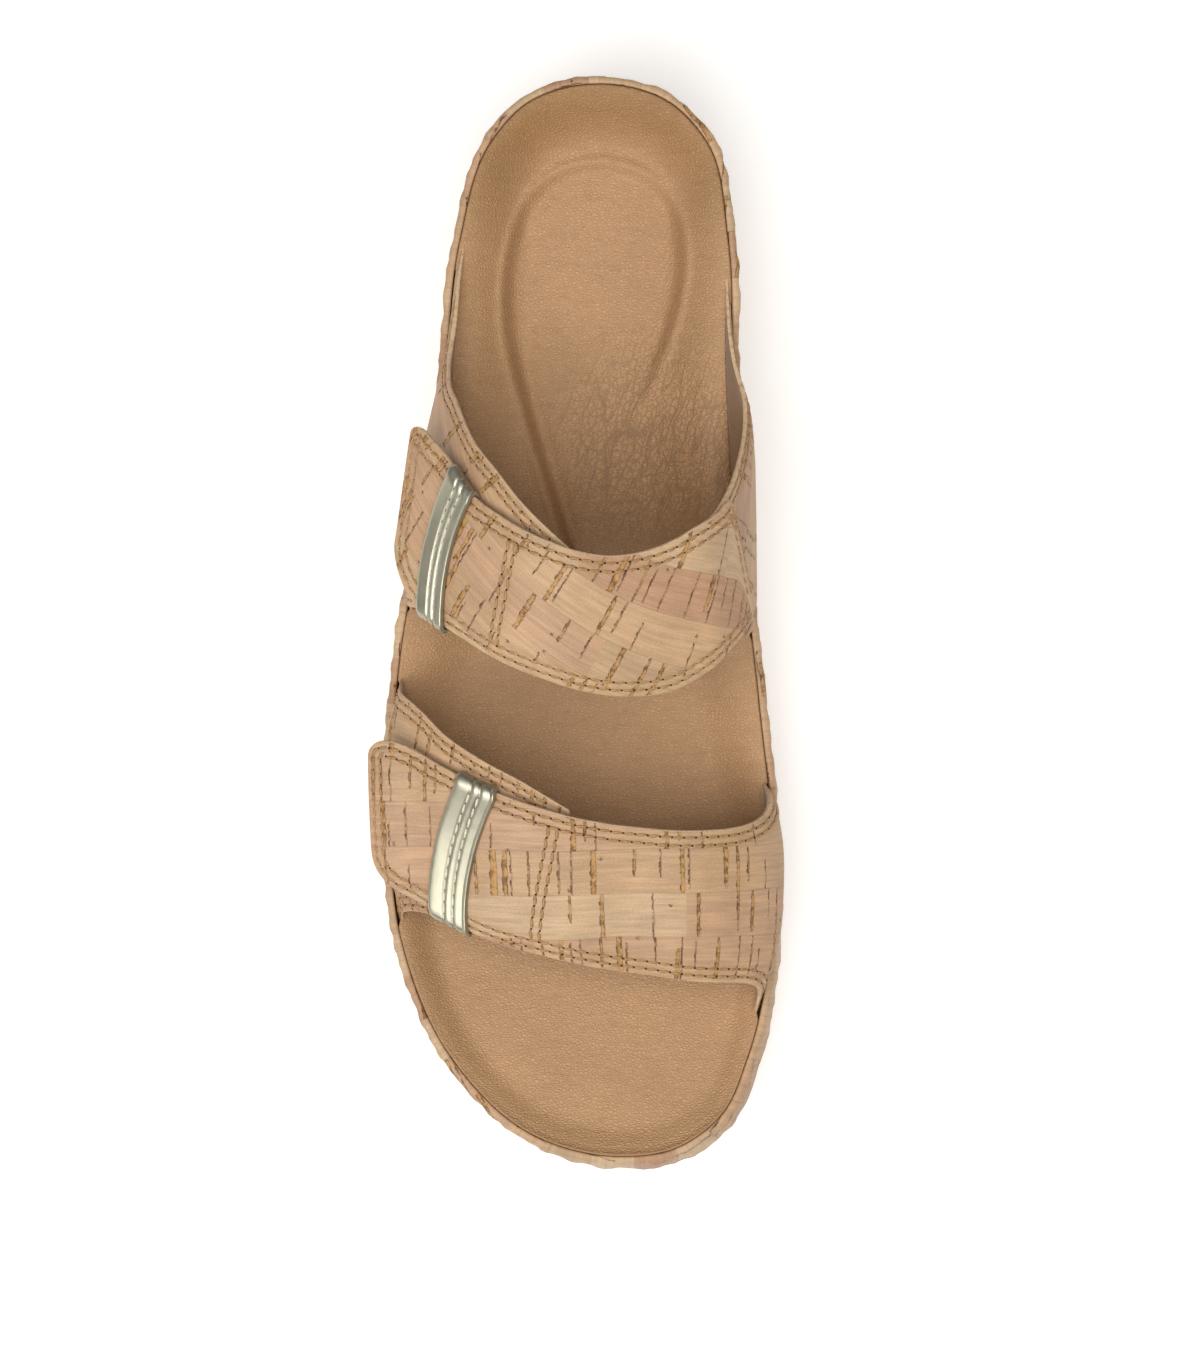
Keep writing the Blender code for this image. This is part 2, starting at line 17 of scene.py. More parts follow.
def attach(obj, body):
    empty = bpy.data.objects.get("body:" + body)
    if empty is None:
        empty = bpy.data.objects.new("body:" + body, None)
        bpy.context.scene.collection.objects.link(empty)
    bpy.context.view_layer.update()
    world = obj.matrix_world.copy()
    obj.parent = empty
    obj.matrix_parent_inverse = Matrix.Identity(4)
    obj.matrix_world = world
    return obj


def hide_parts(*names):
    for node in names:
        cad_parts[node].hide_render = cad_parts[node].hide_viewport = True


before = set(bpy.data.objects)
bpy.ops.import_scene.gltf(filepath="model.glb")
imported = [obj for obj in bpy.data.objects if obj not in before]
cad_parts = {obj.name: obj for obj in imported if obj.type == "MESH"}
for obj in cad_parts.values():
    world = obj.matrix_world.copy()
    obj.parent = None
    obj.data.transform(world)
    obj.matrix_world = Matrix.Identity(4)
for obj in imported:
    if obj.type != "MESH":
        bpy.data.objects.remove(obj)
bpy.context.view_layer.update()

bl_info = {
    "name": "Slide sandal",
    "version": (1, 0, 0),
    "blender": (4, 5, 0),
    "location": "View3D > Sidebar > Sandal",
    "description": "Builds the visible pieces of a slide sandal round its solid parts",
    "category": "Add Mesh",
}

MM = 0.001
BODY = "root"
UV_NAME = "UVMap"
MERGE = 2e-6
MADE = {}

# Where the shoe's long axis lies in the frame
AXIS_X = 5.892
AXIS_Y = 0.110

# Sole
LENGTH = 252.0
OUTSOLE_THICKNESS = 4.0
OUTSOLE_STEP = 0.5
OUTSOLE_CHAMFER = 1.2
FLANGE_SHARE = 0.5
SHARP_ANGLE = 40
LIP_THICKNESS = 1.4
LIP_ROUND = 0.75
LIP_INNER_ROUND = 0.5
LIP_SINK = 0.22
FIT_GAP = 0.3
FOOTBED_GAP = 0.08
WALL_BULGE = 0.7
WALL_POWER = 0.7
WRAP_TUCK = 0.5
GATHER_LENGTHS = (3.0, 13.0)
GATHER_START = 0.1
SINK_LENGTH = 3.1
GROOVE_WIDTH = 2.4
GROOVE_DEPTH = 1.5
GROOVE_PITCH = 11.0
GROOVE_ROUND = 0.5
GROOVE_BAR = 140.0
GROOVE_MIDDLE = -4.0
HEEL_GROOVES = (16.0, 6)
FOREFOOT_GROOVES = (160.0, 7)
HEEL_FLAT = (14.0, 74.0)
BALL_FLAT = (156.0, 186.0)
HEEL_BEVEL = 2.0
WAIST_RISE = 1.5
WAIST_RAMPS = (22.0, 26.0)
TOE_SPRING = 9.5
SPRING_POWER = 1.7
# How far from heel and toe the sole's middle line and the upper's base line stop
SPINE_ENDS = (46.0, 62.0)
BASE_ENDS = (12.0, 10.0)

# Footbed
FOOTBED_THICKNESS = 5.0
FOOTBED_EDGE_ROUND = 0.9
FOOTBED_ROLL = 0.6
FOOTBED_PROUD = 0.2
FOOTBED_TAPER = (0.4, 0.6)
PAD_DEPTH = 1.7
PAD_SLOPE = 2.8
PAD_BEAD = 0.75
PAD_BEAD_WIDTH = 0.95
PAD_VALLEY = 0.9
PAD_VALLEY_PLACE = 2.6
PAD_VALLEY_WIDTH = 1.8
FLANK_RIDGE = 3.0
FLANK_RIDGE_WIDTH = 8.0
STEP_LEAN = 0.95
PAD_LEAD = 0.6
BEAD_PLACE = 1.0
# Distance from the rim in which mounds and ridge reach their full height, and the pad its full depth
MOUND_RISES = 8.0
PAD_RISES = 9.0
RIDGE_RISES = 6.0
# Where changes along the footbed start and how long they take
PAD_OPENS = (60.0, 26.0)
PAD_ENDS = (108.0, 24.0)
STEP_STARTS = (46.0, 18.0)
VALLEY_STARTS = (46.0, 26.0)
RIDGE_STARTS = (56.0, 34.0)
# The same across the footbed, towards the outer side
OUTER_SIDE = (2.0, 6.0)
STEP_SIDE = (-2.0, 4.0)

# Upper
BASE_THICKNESS = 1.2
STRAP_THICKNESS = 2.0
UNDERLAY_THICKNESS = 1.6
POCKET_DEPTH = 5.0
POCKET_RAMP = 3.0
POCKET_OVER = 0.3
LEAVING_TURN = 0.93
OUTER_POWER = 1.8
INNER_POWER = 2.5
CROWN_SHARE = 0.56
TURN_LENGTH = 75.0
EDGE_ROUND = 0.5
EDGE_ZONE = 6.0
EDGE_SHARE = 0.42
CLOTH_WAVE = 0.07
CLOTH_WAVES_PER_TURN = 9.0
CLOTH_WAVE_LENGTH = 9.0
CLOTH_LEVELS = (0.9, 0.1)
SHIFT_ALONG = 7
EDGE_SKIVE = 0.6
STITCH_DIP = 0.26
KEEPER_THICKNESS = 0.9
KEEPER_LINING = 0.5
STITCH_DIP_HALF = 0.35
SEAM_HALF = 0.95
THICKENS_OVER = 8.0
LEAN_STARTS = (2.0, 10.0)

# Height of a stitch, and width, depth and length of a needle hole, as shares of the thread's width
THREAD_HEIGHT = 0.75
NEEDLE_HOLE = (0.7, 0.3, 0.6)
KEEPER_THREAD_HEIGHT = 0.8
KEEPER_NEEDLE_HOLE = (0.5, 0.3, 0.45)
# Width of the keepers' thread as a share of the straps' thread, and how far stitches sink into their dip
KEEPER_THREAD = 0.72
STITCH_SINK = 0.4
# Slant of the stitches to their seam in degrees, how much it varies, and how quickly from stitch to stitch
STITCH_SLANT = 9
SLANT_SPREAD = 8
SLANT_CHANGE = 0.37

# Stage
FLOOR_SIZE = 8.0
WORLD_LIGHT = 0.06
LENS = 134.6
CAMERA_SHIFT = -10.7
CAMERA_HEIGHT = 1.2

# Mesh density
SIDE_POINTS = 240
TURN_STEP = 0.8
FACE_ROWS = 20
KEEPER_STOPS = 34
KEEPER_COLUMNS = 61
BASE_STRIDE = 6
LINE_POINTS = 240
SHORT_LINE_POINTS = 80
LOOP_POINTS = 700
# Distances of sections from a piece's end, in millimetres, and where the even spacing begins
END_STOPS = (0.0, 0.04, 0.1, 0.2, 0.33, 0.5, 0.7, 0.95, 1.3, 1.7, 2.2, 2.8)
END_ZONE = 3.6
# Length at a strap's free end where a line that goes round it has more points
ROUND_REACH = 12.0


def rows_of(kind, *rows):
    """A table's rows, each with its columns named."""
    return tuple(kind(*row) for row in rows)


Edge = namedtuple("Edge", "along across lip_in base_in")
OUTLINE = rows_of(
    Edge,
    (0.0, -0.5, 0.0, 3.0),
    (4.8, 17.2, 0.0, 2.4),
    (14.0, 25.7, 0.0, 1.6),
    (37.0, 30.8, 0.0, 1.2),
    (69.0, 31.8, 0.0, 3.0),
    (105.0, 34.0, 0.0, 3.4),
    (142.0, 38.2, 0.0, 1.6),
    (180.0, 41.9, 0.2, 0.6),
    (203.0, 41.9, 1.2, 0.0),
    (226.0, 38.0, 2.2, 0.0),
    (241.0, 31.8, 2.8, 0.0),
    (250.3, 19.6, 3.0, 0.0),
    (252.0, 3.0, 2.4, 0.0),
    (245.3, -17.0, 1.0, 0.2),
    (226.5, -35.9, 0.2, 0.8),
    (198.4, -47.7, 0.0, 1.0),
    (165.0, -49.8, 0.0, 1.0),
    (133.0, -47.8, 0.0, 1.4),
    (100.0, -41.8, 0.0, 2.0),
    (68.0, -37.0, 0.0, 1.8),
    (37.0, -33.5, 0.0, 1.2),
    (14.0, -26.2, 0.0, 1.6),
    (4.8, -17.7, 0.0, 2.4),
)
TOE_ROW = 12

Station = namedtuple("Station", "along lip seat crown cup inner_bulge outer_bulge")
STATIONS = rows_of(
    Station,
    (0.0, 46.0, 37.0, 98.0, 15.0, 0.0, 0.0),
    (15.0, 46.0, 36.5, 100.0, 15.0, 0.0, 0.0),
    (45.0, 45.0, 35.5, 101.0, 17.0, 0.5, 0.0),
    (80.0, 41.5, 33.0, 96.0, 22.0, 5.4, 4.5),
    (110.0, 36.5, 29.0, 84.0, 22.0, 4.4, 5.5),
    (143.0, 31.0, 24.5, 69.0, 16.0, 3.6, 5.6),
    (172.0, 28.0, 22.0, 56.0, 11.0, 4.4, 5.8),
    (205.0, 27.0, 23.2, 45.5, 8.0, 4.6, 4.4),
    (232.0, 29.0, 26.4, 40.0, 7.0, 0.0, 0.0),
    (252.0, 31.5, 29.3, 38.0, 7.0, 0.0, 0.0),
)

# Height over the lip in which the upper swells out to its full bulge: low in the middle of a piece, high at
# its corners, where the sole holds it
Swell = namedtuple("Swell", "along inner outer")
SWELLS = rows_of(
    Swell,
    (30.0, 16.0, 16.0),
    (70.0, 13.0, 13.0),
    (90.0, 9.0, 9.0),
    (106.0, 9.0, 9.0),
    (122.0, 16.0, 16.0),
    (138.0, 16.0, 16.0),
    (150.0, 16.0, 9.0),
    (162.0, 16.0, 7.0),
    (176.0, 8.0, 7.0),
    (188.0, 7.0, 10.0),
    (198.0, 7.0, 16.0),
    (208.0, 10.0, 16.0),
    (218.0, 16.0, 16.0),
)

# Pressed pad of the heel seat; its outer edge runs on as a step under the instep, its inner edge fades at the
# waist. The step takes over the outline's outer rows.
PadEdge = namedtuple("PadEdge", "along across")
PAD_OUTLINE = rows_of(
    PadEdge,
    (19.0, -1.0),
    (20.6, 7.5),
    (24.0, 13.3),
    (29.0, 16.8),
    (36.0, 18.7),
    (44.0, 18.9),
    (52.0, 17.6),
    (60.0, 15.2),
    (68.0, 12.0),
    (76.0, 8.0),
    (86.0, 2.0),
    (96.0, -3.5),
    (105.0, -7.0),
    (100.0, -10.0),
    (92.0, -12.5),
    (84.0, -15.0),
    (76.0, -17.2),
    (68.0, -19.4),
    (58.0, -21.4),
    (48.0, -21.8),
    (38.0, -20.4),
    (30.0, -17.8),
    (24.5, -14.0),
    (21.0, -9.0),
)
PAD_STEP = PAD_OUTLINE[19:12:-1] + rows_of(
    PadEdge,
    (110.0, -6.5),
    (122.0, -3.0),
    (140.0, 0.0),
)

# Low mounds of the footbed: under the arch, and along the outer flank
Mound = namedtuple("Mound", "rise along across length width")
MOUNDS = rows_of(
    Mound,
    (5.0, 98.0, 30.0, 30.0, 15.0),
    (3.5, 96.0, -30.0, 34.0, 13.0),
)

StrapEdge = namedtuple("StrapEdge", "turn rear front")
INSTEP_STRAP = rows_of(
    StrapEdge,
    (-0.728, 79.3, 114.4),
    (-0.62, 86.0, 121.0),
    (-0.54, 91.0, 124.2),
    (-0.46, 96.0, 126.9),
    (-0.33, 100.7, 131.3),
    (-0.16, 105.9, 136.1),
    (0.00, 109.6, 140.3),
    (0.11, 109.9, 141.2),
    (0.31, 106.6, 139.3),
    (0.42, 102.4, 134.9),
    (0.50, 99.7, 131.0),
    (0.565, 98.2, 128.2),
    (0.61, 106.5, 126.2),
    (0.64, 114.8, 124.4),
    (0.662, 120.0, 122.6),
)
INSTEP_QUARTER = rows_of(
    StrapEdge,
    (0.44, 104.0, 131.0),
    (0.54, 99.0, 127.6),
    (0.62, 94.0, 124.2),
    (0.70, 88.0, 123.8),
    (0.76, 83.0, 124.6),
    (0.82, 76.5, 125.8),
    (0.88, 66.5, 127.0),
    (0.92, 55.0, 127.8),
    (0.95, 45.0, 128.3),
    (1.00, 31.0, 129.0),
)
INSTEP_UNDERLAY = rows_of(
    StrapEdge,
    (-1.00, 28.0, 123.0),
    (-0.96, 36.0, 122.4),
    (-0.93, 43.5, 122.0),
    (-0.90, 51.5, 121.5),
    (-0.87, 58.5, 121.0),
    (-0.79, 68.5, 121.0),
    (-0.68, 75.0, 122.0),
    (-0.535, 84.5, 126.0),
    (-0.42, 90.5, 129.5),
    (-0.285, 98.5, 133.0),
    (-0.10, 108.5, 136.0),
)
TOE_STRAP = rows_of(
    StrapEdge,
    (-0.75, 150.4, 182.0),
    (-0.67, 151.0, 185.2),
    (-0.54, 155.3, 190.7),
    (-0.395, 159.8, 195.7),
    (-0.175, 165.4, 200.1),
    (0.00, 169.6, 203.6),
    (0.17, 171.2, 205.2),
    (0.36, 171.7, 206.8),
    (0.475, 171.4, 207.1),
    (0.56, 170.6, 207.4),
    (0.66, 168.6, 208.6),
    (0.75, 165.3, 211.0),
    (0.85, 162.8, 215.0),
    (1.00, 160.5, 219.0),
)
TOE_UNDERLAY = rows_of(
    StrapEdge,
    (-1.00, 136.0, 199.0),
    (-0.93, 137.6, 195.5),
    (-0.86, 139.0, 192.7),
    (-0.78, 140.6, 191.3),
    (-0.71, 142.3, 191.0),
    (-0.63, 145.2, 191.5),
    (-0.535, 149.8, 192.5),
    (-0.38, 155.8, 195.0),
    (-0.247, 160.5, 197.5),
    (-0.10, 167.0, 200.0),
)

# How far a strap's inner face rides over the foot where it covers another piece, by turn
Ride = namedtuple("Ride", "turn height")
OUTER_RIDE = rows_of(
    Ride,
    (-0.76, 8.5),
    (-0.68, 6.0),
    (-0.60, 3.6),
    (-0.50, 2.8),
    (-0.16, 2.7),
    (-0.10, 2.2),
    (-0.02, 0.8),
    (0.06, 0.0),
)
INSTEP_RIDE = OUTER_RIDE + rows_of(
    Ride,
    (0.30, 0.0),
    (0.37, 0.9),
    (0.44, 1.95),
    (0.52, 1.95),
    (0.66, 1.95),
)
TOE_RIDE = OUTER_RIDE + rows_of(
    Ride,
    (0.30, 0.0),
    (1.00, 0.0),
)
FLAT_RIDE = rows_of(
    Ride,
    (-1.0, 0.0),
    (1.0, 0.0),
)

# Cork strips in the order in which they are glued side by side, and the share of slits that each one shows
CorkStrip = namedtuple("CorkStrip", "colour slits")
CORK_STRIPS = rows_of(
    CorkStrip,
    ("cork_grey", 0.35),
    ("cork_tan", 0.70),
    ("cork_pale", 0.14),
    ("cork_pink", 0.92),
    ("cork_tan", 0.40),
    ("cork_rose", 0.60),
    ("cork_rose", 0.80),
    ("cork_pale", 0.28),
)

# A cut piece of the upper: corners are the radii at a free end, tab_end is the turn where the hook tape under
# a tab stops, skew is the angle of the cork strips to the strap in degrees, and drift how far they follow the
# sole instead
Pattern = namedtuple("Pattern", "name table ride thickness corners tab_end skew drift shift")
CUT_PIECES = rows_of(
    Pattern,
    ("instep_strap", INSTEP_STRAP, INSTEP_RIDE, STRAP_THICKNESS, (4.0, 8.5), -0.30, 27, 0.4, 3.0),
    ("toe_strap", TOE_STRAP, TOE_RIDE, STRAP_THICKNESS, (4.0, 6.0), -0.17, 0, 1.0, 6.6),
    ("instep_underlay", INSTEP_UNDERLAY, FLAT_RIDE, UNDERLAY_THICKNESS, None, None, 35, 0.0, 31.0),
    ("instep_quarter", INSTEP_QUARTER, FLAT_RIDE, UNDERLAY_THICKNESS, None, None, -55, 0.0, 57.0),
    ("toe_underlay", TOE_UNDERLAY, FLAT_RIDE, UNDERLAY_THICKNESS, None, None, 8, 0.5, 83.0),
)
PATTERNS = {piece.name: piece for piece in CUT_PIECES}

# Rows of stitches: which edge of a pattern they follow, and from which turn to which
SewnEdge = namedtuple("SewnEdge", "pattern edge start end")
SEWN_EDGES = rows_of(
    SewnEdge,
    ("instep_strap", "round", -0.728, 0.655),
    ("toe_strap", "round", -0.75, 0.985),
    ("instep_underlay", "rear", -0.91, -0.17),
    ("instep_underlay", "front", -0.93, -0.45),
    ("toe_underlay", "rear", -0.93, -0.17),
    ("toe_underlay", "front", -0.93, -0.45),
    ("instep_quarter", "rear", 0.60, 0.92),
    ("instep_quarter", "front", 0.66, 0.93),
)
# Double seams that cross a strap, from its rear to its front edge
CrossSeam = namedtuple("CrossSeam", "pattern turn_rear turn_front")
CROSS_SEAMS = rows_of(
    CrossSeam,
    ("instep_strap", -0.272, -0.316),
    ("toe_strap", -0.140, -0.214),
)

# Keepers: the band between two turns at mid-strap, how far it slants from rear to front, and its bow halfway
Band = namedtuple("Band", "name strap low high slant bow")
KEEPERS = rows_of(
    Band,
    ("instep_keeper", "instep_strap", -0.579, -0.473, -0.055, -0.028),
    ("toe_keeper", "toe_strap", -0.503, -0.370, -0.123, -0.020),
)
# Section of a keeper from its outer to its inner side, as shares of its thickness
Rib = namedtuple("Rib", "place height")
KEEPER_RIBS = rows_of(
    Rib,
    (0.00, 0.25),
    (0.015, 0.60),
    (0.04, 0.92),
    (0.08, 1.08),
    (0.14, 1.10),
    (0.22, 1.02),
    (0.30, 0.91),
    (0.375, 0.77),
    (0.42, 0.50),
    (0.465, 0.86),
    (0.50, 0.98),
    (0.535, 0.98),
    (0.57, 0.91),
    (0.605, 0.78),
    (0.65, 0.50),
    (0.695, 0.88),
    (0.74, 0.94),
    (0.80, 0.87),
    (0.86, 0.77),
    (0.90, 0.74),
    (0.93, 0.97),
    (0.955, 1.07),
    (0.98, 0.95),
    (1.00, 0.40),
)
KEEPER_GROOVES = (0.42, 0.65)


def hermite(t, start, end, slope_start, slope_end):
    """Cubic from start to end with those slopes, for t from 0 to 1."""
    bend = (t**3 - 2 * t**2 + t) * slope_start + (t**3 - t**2) * slope_end
    return (2 * t**3 - 3 * t**2 + 1) * start + (3 * t**2 - 2 * t**3) * end + bend


def curve_through(xs, ys):
    """Smooth function through the points of a short table, with each slope taken from both neighbours."""
    xs, ys = np.asarray(xs, float), np.asarray(ys, float)
    slopes = np.gradient(ys, xs)

    def value(x):
        """The curve's height, level past the table's ends."""
        x = np.clip(x, xs[0], xs[-1])
        i = np.clip(np.searchsorted(xs, x, side="right") - 1, 0, len(xs) - 2)
        span = xs[i + 1] - xs[i]
        return hermite((x - xs[i]) / span, ys[i], ys[i + 1], span * slopes[i], span * slopes[i + 1])

    return value


def column(rows, key, name):
    """The named column of a table as a smooth function of its key column."""
    return curve_through([getattr(r, key) for r in rows], [getattr(r, name) for r in rows])


lip_z, seat_z, crown_z, cup_width, inner_bulge, outer_bulge = (
    column(STATIONS, "along", name) for name in Station._fields[1:]
)
inner_swell, outer_swell = (column(SWELLS, "along", side) for side in ("inner", "outer"))
pad_step = column(PAD_STEP, "along", "across")


def ease(x):
    """Smooth step from 0 to 1."""
    x = np.clip(x, 0.0, 1.0)
    return x * x * (3 - 2 * x)


def onset(place, start, length):
    """Smooth step from 0 at a start to 1 a length further on."""
    return ease((place - start) / length)


def floor_z(along):
    """Underside of the sole: flat under heel and ball, hollow at the waist, turned up at heel and toe."""
    along = np.asarray(along, float)
    heel = HEEL_BEVEL * ease(1 - along / HEEL_FLAT[0])
    hollow = onset(along, HEEL_FLAT[1], WAIST_RAMPS[0]) * ease((BALL_FLAT[0] - along) / WAIST_RAMPS[1])
    toe = TOE_SPRING * np.clip((along - BALL_FLAT[1]) / (LENGTH - BALL_FLAT[1]), 0, 1) ** SPRING_POWER
    return heel + WAIST_RISE * hollow + toe


def wedge_z(along):
    """Underside of the wedge, just over the outsole."""
    return floor_z(along) + OUTSOLE_THICKNESS + FIT_GAP


def tray_z(along):
    """Bottom of the wedge's tray, just under the footbed."""
    return seat_z(along) - FOOTBED_THICKNESS - FIT_GAP


def smooth_loop(rows, steps=40):
    """Dense points of a smooth closed curve through a table's rows; the first two columns are its plan."""
    table = np.array(rows, float)
    ahead, behind = np.roll(table, -1, 0), np.roll(table, 1, 0)
    step_on = np.linalg.norm((ahead - table)[:, :2], axis=1)[:, None]
    step_back = np.linalg.norm((table - behind)[:, :2], axis=1)[:, None]
    slope = (ahead - table) / step_on * step_back + (table - behind) / step_back * step_on
    slope /= step_on + step_back
    t = np.linspace(0, 1, steps, endpoint=False)[:, None]
    return np.vstack(
        [
            hermite(t, table[i], ahead[i], step_on[i] * slope[i], step_on[i] * slope[(i + 1) % len(table)])
            for i in range(len(table))
        ]
    )


def run_length(points, axis=0):
    """Length walked over a line or grid of points in one direction, from 0 at its start."""
    walked = np.cumsum(np.linalg.norm(np.diff(points, axis=axis), axis=-1), axis=axis)
    return np.concatenate([np.zeros_like(np.take(walked, [0], axis)), walked], axis=axis)


def rows_at(wanted, length, rows):
    """Rows of a line at wanted lengths along it."""
    return np.column_stack([np.interp(wanted, length, values) for values in rows.T])


def evenly(points, count):
    """That many rows, the last left out, spaced evenly along a dense line."""
    length = run_length(points[:, :2])
    return rows_at(np.linspace(0, length[-1], count, endpoint=False), length, points)


def sole_outline(steps=40):
    """The sole's outline table as evenly spaced rows: heel, inner side, toe, outer side."""
    dense = smooth_loop(OUTLINE, steps)
    toe = TOE_ROW * steps
    inner = dense[: toe + 1]
    outer = np.vstack([dense[toe:], dense[:1]])
    return np.vstack([evenly(inner, SIDE_POINTS), evenly(outer, SIDE_POINTS)])


RIM = sole_outline()


def outward(rows):
    """Unit normals of a closed plan outline, pointing away from the shoe."""
    tangent = np.roll(rows[:, :2], -1, 0) - np.roll(rows[:, :2], 1, 0)
    normal = np.column_stack([-tangent[:, 1], tangent[:, 0]])
    normal /= np.linalg.norm(normal, axis=1)[:, None]
    middle = rows[:, :2].mean(0)
    return normal * np.sign(((rows[:, :2] - middle) * normal).sum(1).sum())


RIM_OUT = outward(RIM)
RIM_STEP = np.linalg.norm(RIM[:, :2] - np.roll(RIM[:, :2], 1, 0), axis=1)
RIM_LENGTH = np.cumsum(RIM_STEP) - RIM_STEP[0]


def ring(inset):
    """The outline taken in by a distance, as (along, across) rows."""
    return RIM[:, :2] - RIM_OUT * np.broadcast_to(inset, len(RIM))[:, None]


def base_line(inner_side):
    """Function giving the across place of the upper's inside where it leaves the sole, by along."""
    line = ring(RIM[:, 2] + LIP_THICKNESS + FIT_GAP + BASE_THICKNESS)
    half = line[: SIDE_POINTS + 1] if inner_side else line[SIDE_POINTS:][::-1]
    kept = (half[:, 0] > BASE_ENDS[0]) & (half[:, 0] < LENGTH - BASE_ENDS[1])
    half = half[kept][::BASE_STRIDE]
    order = np.argsort(half[:, 0])
    return curve_through(half[order, 0], half[order, 1])


inner_base = base_line(True)
outer_base = base_line(False)


def foot_surface(along, turn):
    """Inside of the upper, as (across, along, height) points."""
    along, turn = np.broadcast_arrays(np.asarray(along, float), np.asarray(turn, float))
    outer = turn < 0
    side = np.where(outer, outer_base(along), inner_base(along))
    crown_x = outer_base(along) + CROWN_SHARE * (inner_base(along) - outer_base(along))
    foot = lip_z(along) - POCKET_DEPTH
    power = np.where(outer, OUTER_POWER, INNER_POWER)
    angle = (1 - np.abs(turn)) * math.pi / 2
    reach = (np.cos(angle) ** power + np.sin(angle) ** power) ** (-1 / power)
    rise = reach * np.sin(angle)
    lift = (crown_z(along) - foot) * rise
    swell = np.where(outer, -outer_bulge(along), inner_bulge(along))
    within = np.where(outer, outer_swell(along), inner_swell(along))
    swell = swell * ease((lift - POCKET_DEPTH + 1) / within) * (1 - rise)
    lean = (crown_x - side) * (1 - reach * np.cos(angle)) * onset(lift, *LEAN_STARTS)
    return np.stack([side + lean + swell, along, foot + lift], -1)


def foot_normal(along, turn):
    """Unit normals of the upper's inside, pointing away from the foot."""
    d_along, d_turn = 0.5, 0.004
    low, high = np.maximum(turn - d_turn, -1.0), np.minimum(turn + d_turn, 1.0)
    down = foot_surface(along + d_along, turn) - foot_surface(along - d_along, turn)
    over = foot_surface(along, high) - foot_surface(along, low)
    normal = np.cross(over, down)
    normal /= np.linalg.norm(normal, axis=-1)[..., None]
    return normal


def over_foot(along, turn, height):
    """Point at a height over the upper's inside."""
    return foot_surface(along, turn) + foot_normal(along, turn) * np.asarray(height)[..., None]


def wall_thickness(along, turn, full):
    """Upper thickness, thinned where it goes down between footbed and lip."""
    clear = foot_surface(along, turn)[..., 2] - lip_z(along)
    return BASE_THICKNESS + (full - BASE_THICKNESS) * ease(clear / THICKENS_OVER)


def to_frame(points):
    """(across, along, height) points in millimetres as points of the frame in metres."""
    points = np.asarray(points, float)
    x = points[..., 0] + AXIS_X
    y = LENGTH / 2 - points[..., 1] + AXIS_Y
    return np.stack([x, y, points[..., 2]], -1) * MM


def wander(first, second, seed):
    """Soft noise from -1 to 1 at pairs of places."""
    first, second = np.broadcast_arrays(first, second)
    flat = [noise.noise(Vector((a, b, seed))) for a, b in zip(first.ravel(), second.ravel())]
    return np.reshape(flat, first.shape)


def hex_colour(code):
    """Linear colour of an sRGB hex value."""
    parts = [int(code[i : i + 2], 16) / 255 for i in (1, 3, 5)]
    return tuple(c / 12.92 if c <= 0.04045 else ((c + 0.055) / 1.055) ** 2.4 for c in parts)


def colour_setting(name, code, description):
    """Colour property with an sRGB hex default."""
    return bpy.props.FloatVectorProperty(
        name=name,
        description=description,
        subtype="COLOR",
        size=3,
        min=0.0,
        max=1.0,
        default=hex_colour(code),
    )


def length_setting(name, millimetres, description):
    """Length property with a default in millimetres."""
    return bpy.props.FloatProperty(
        name=name, description=description, unit="LENGTH", min=0.0, precision=5, default=millimetres * MM
    )


class SandalSizes(bpy.types.PropertyGroup):
    """Sizes of the finish."""

    stitch_pitch: length_setting("Stitch pitch", 2.8, "Distance from one needle hole to the next")
    stitch_length: length_setting("Stitch length", 2.5, "Length of thread that shows between two holes")
    thread_width: length_setting("Thread width", 0.9, "Width of the sewing thread")
    first_row: length_setting("First row", 1.5, "Distance of the first stitch row from the cut edge")
    second_row: length_setting("Second row", 3.3, "Distance of the second stitch row from the cut edge")
    wrap_ripple: length_setting("Wrap ripple", 0.75, "Height of the gathers in the cloth round the sole")
    cork_strip: length_setting("Cork strip", 10.7, "Width of the cork strips in the cloth")
    slit_pitch: length_setting("Slit pitch", 3.5, "Usual distance between the slits of one strip")
    leather_grain: length_setting("Leather grain", 0.74, "Size of the pebbles in the footbed's leather")


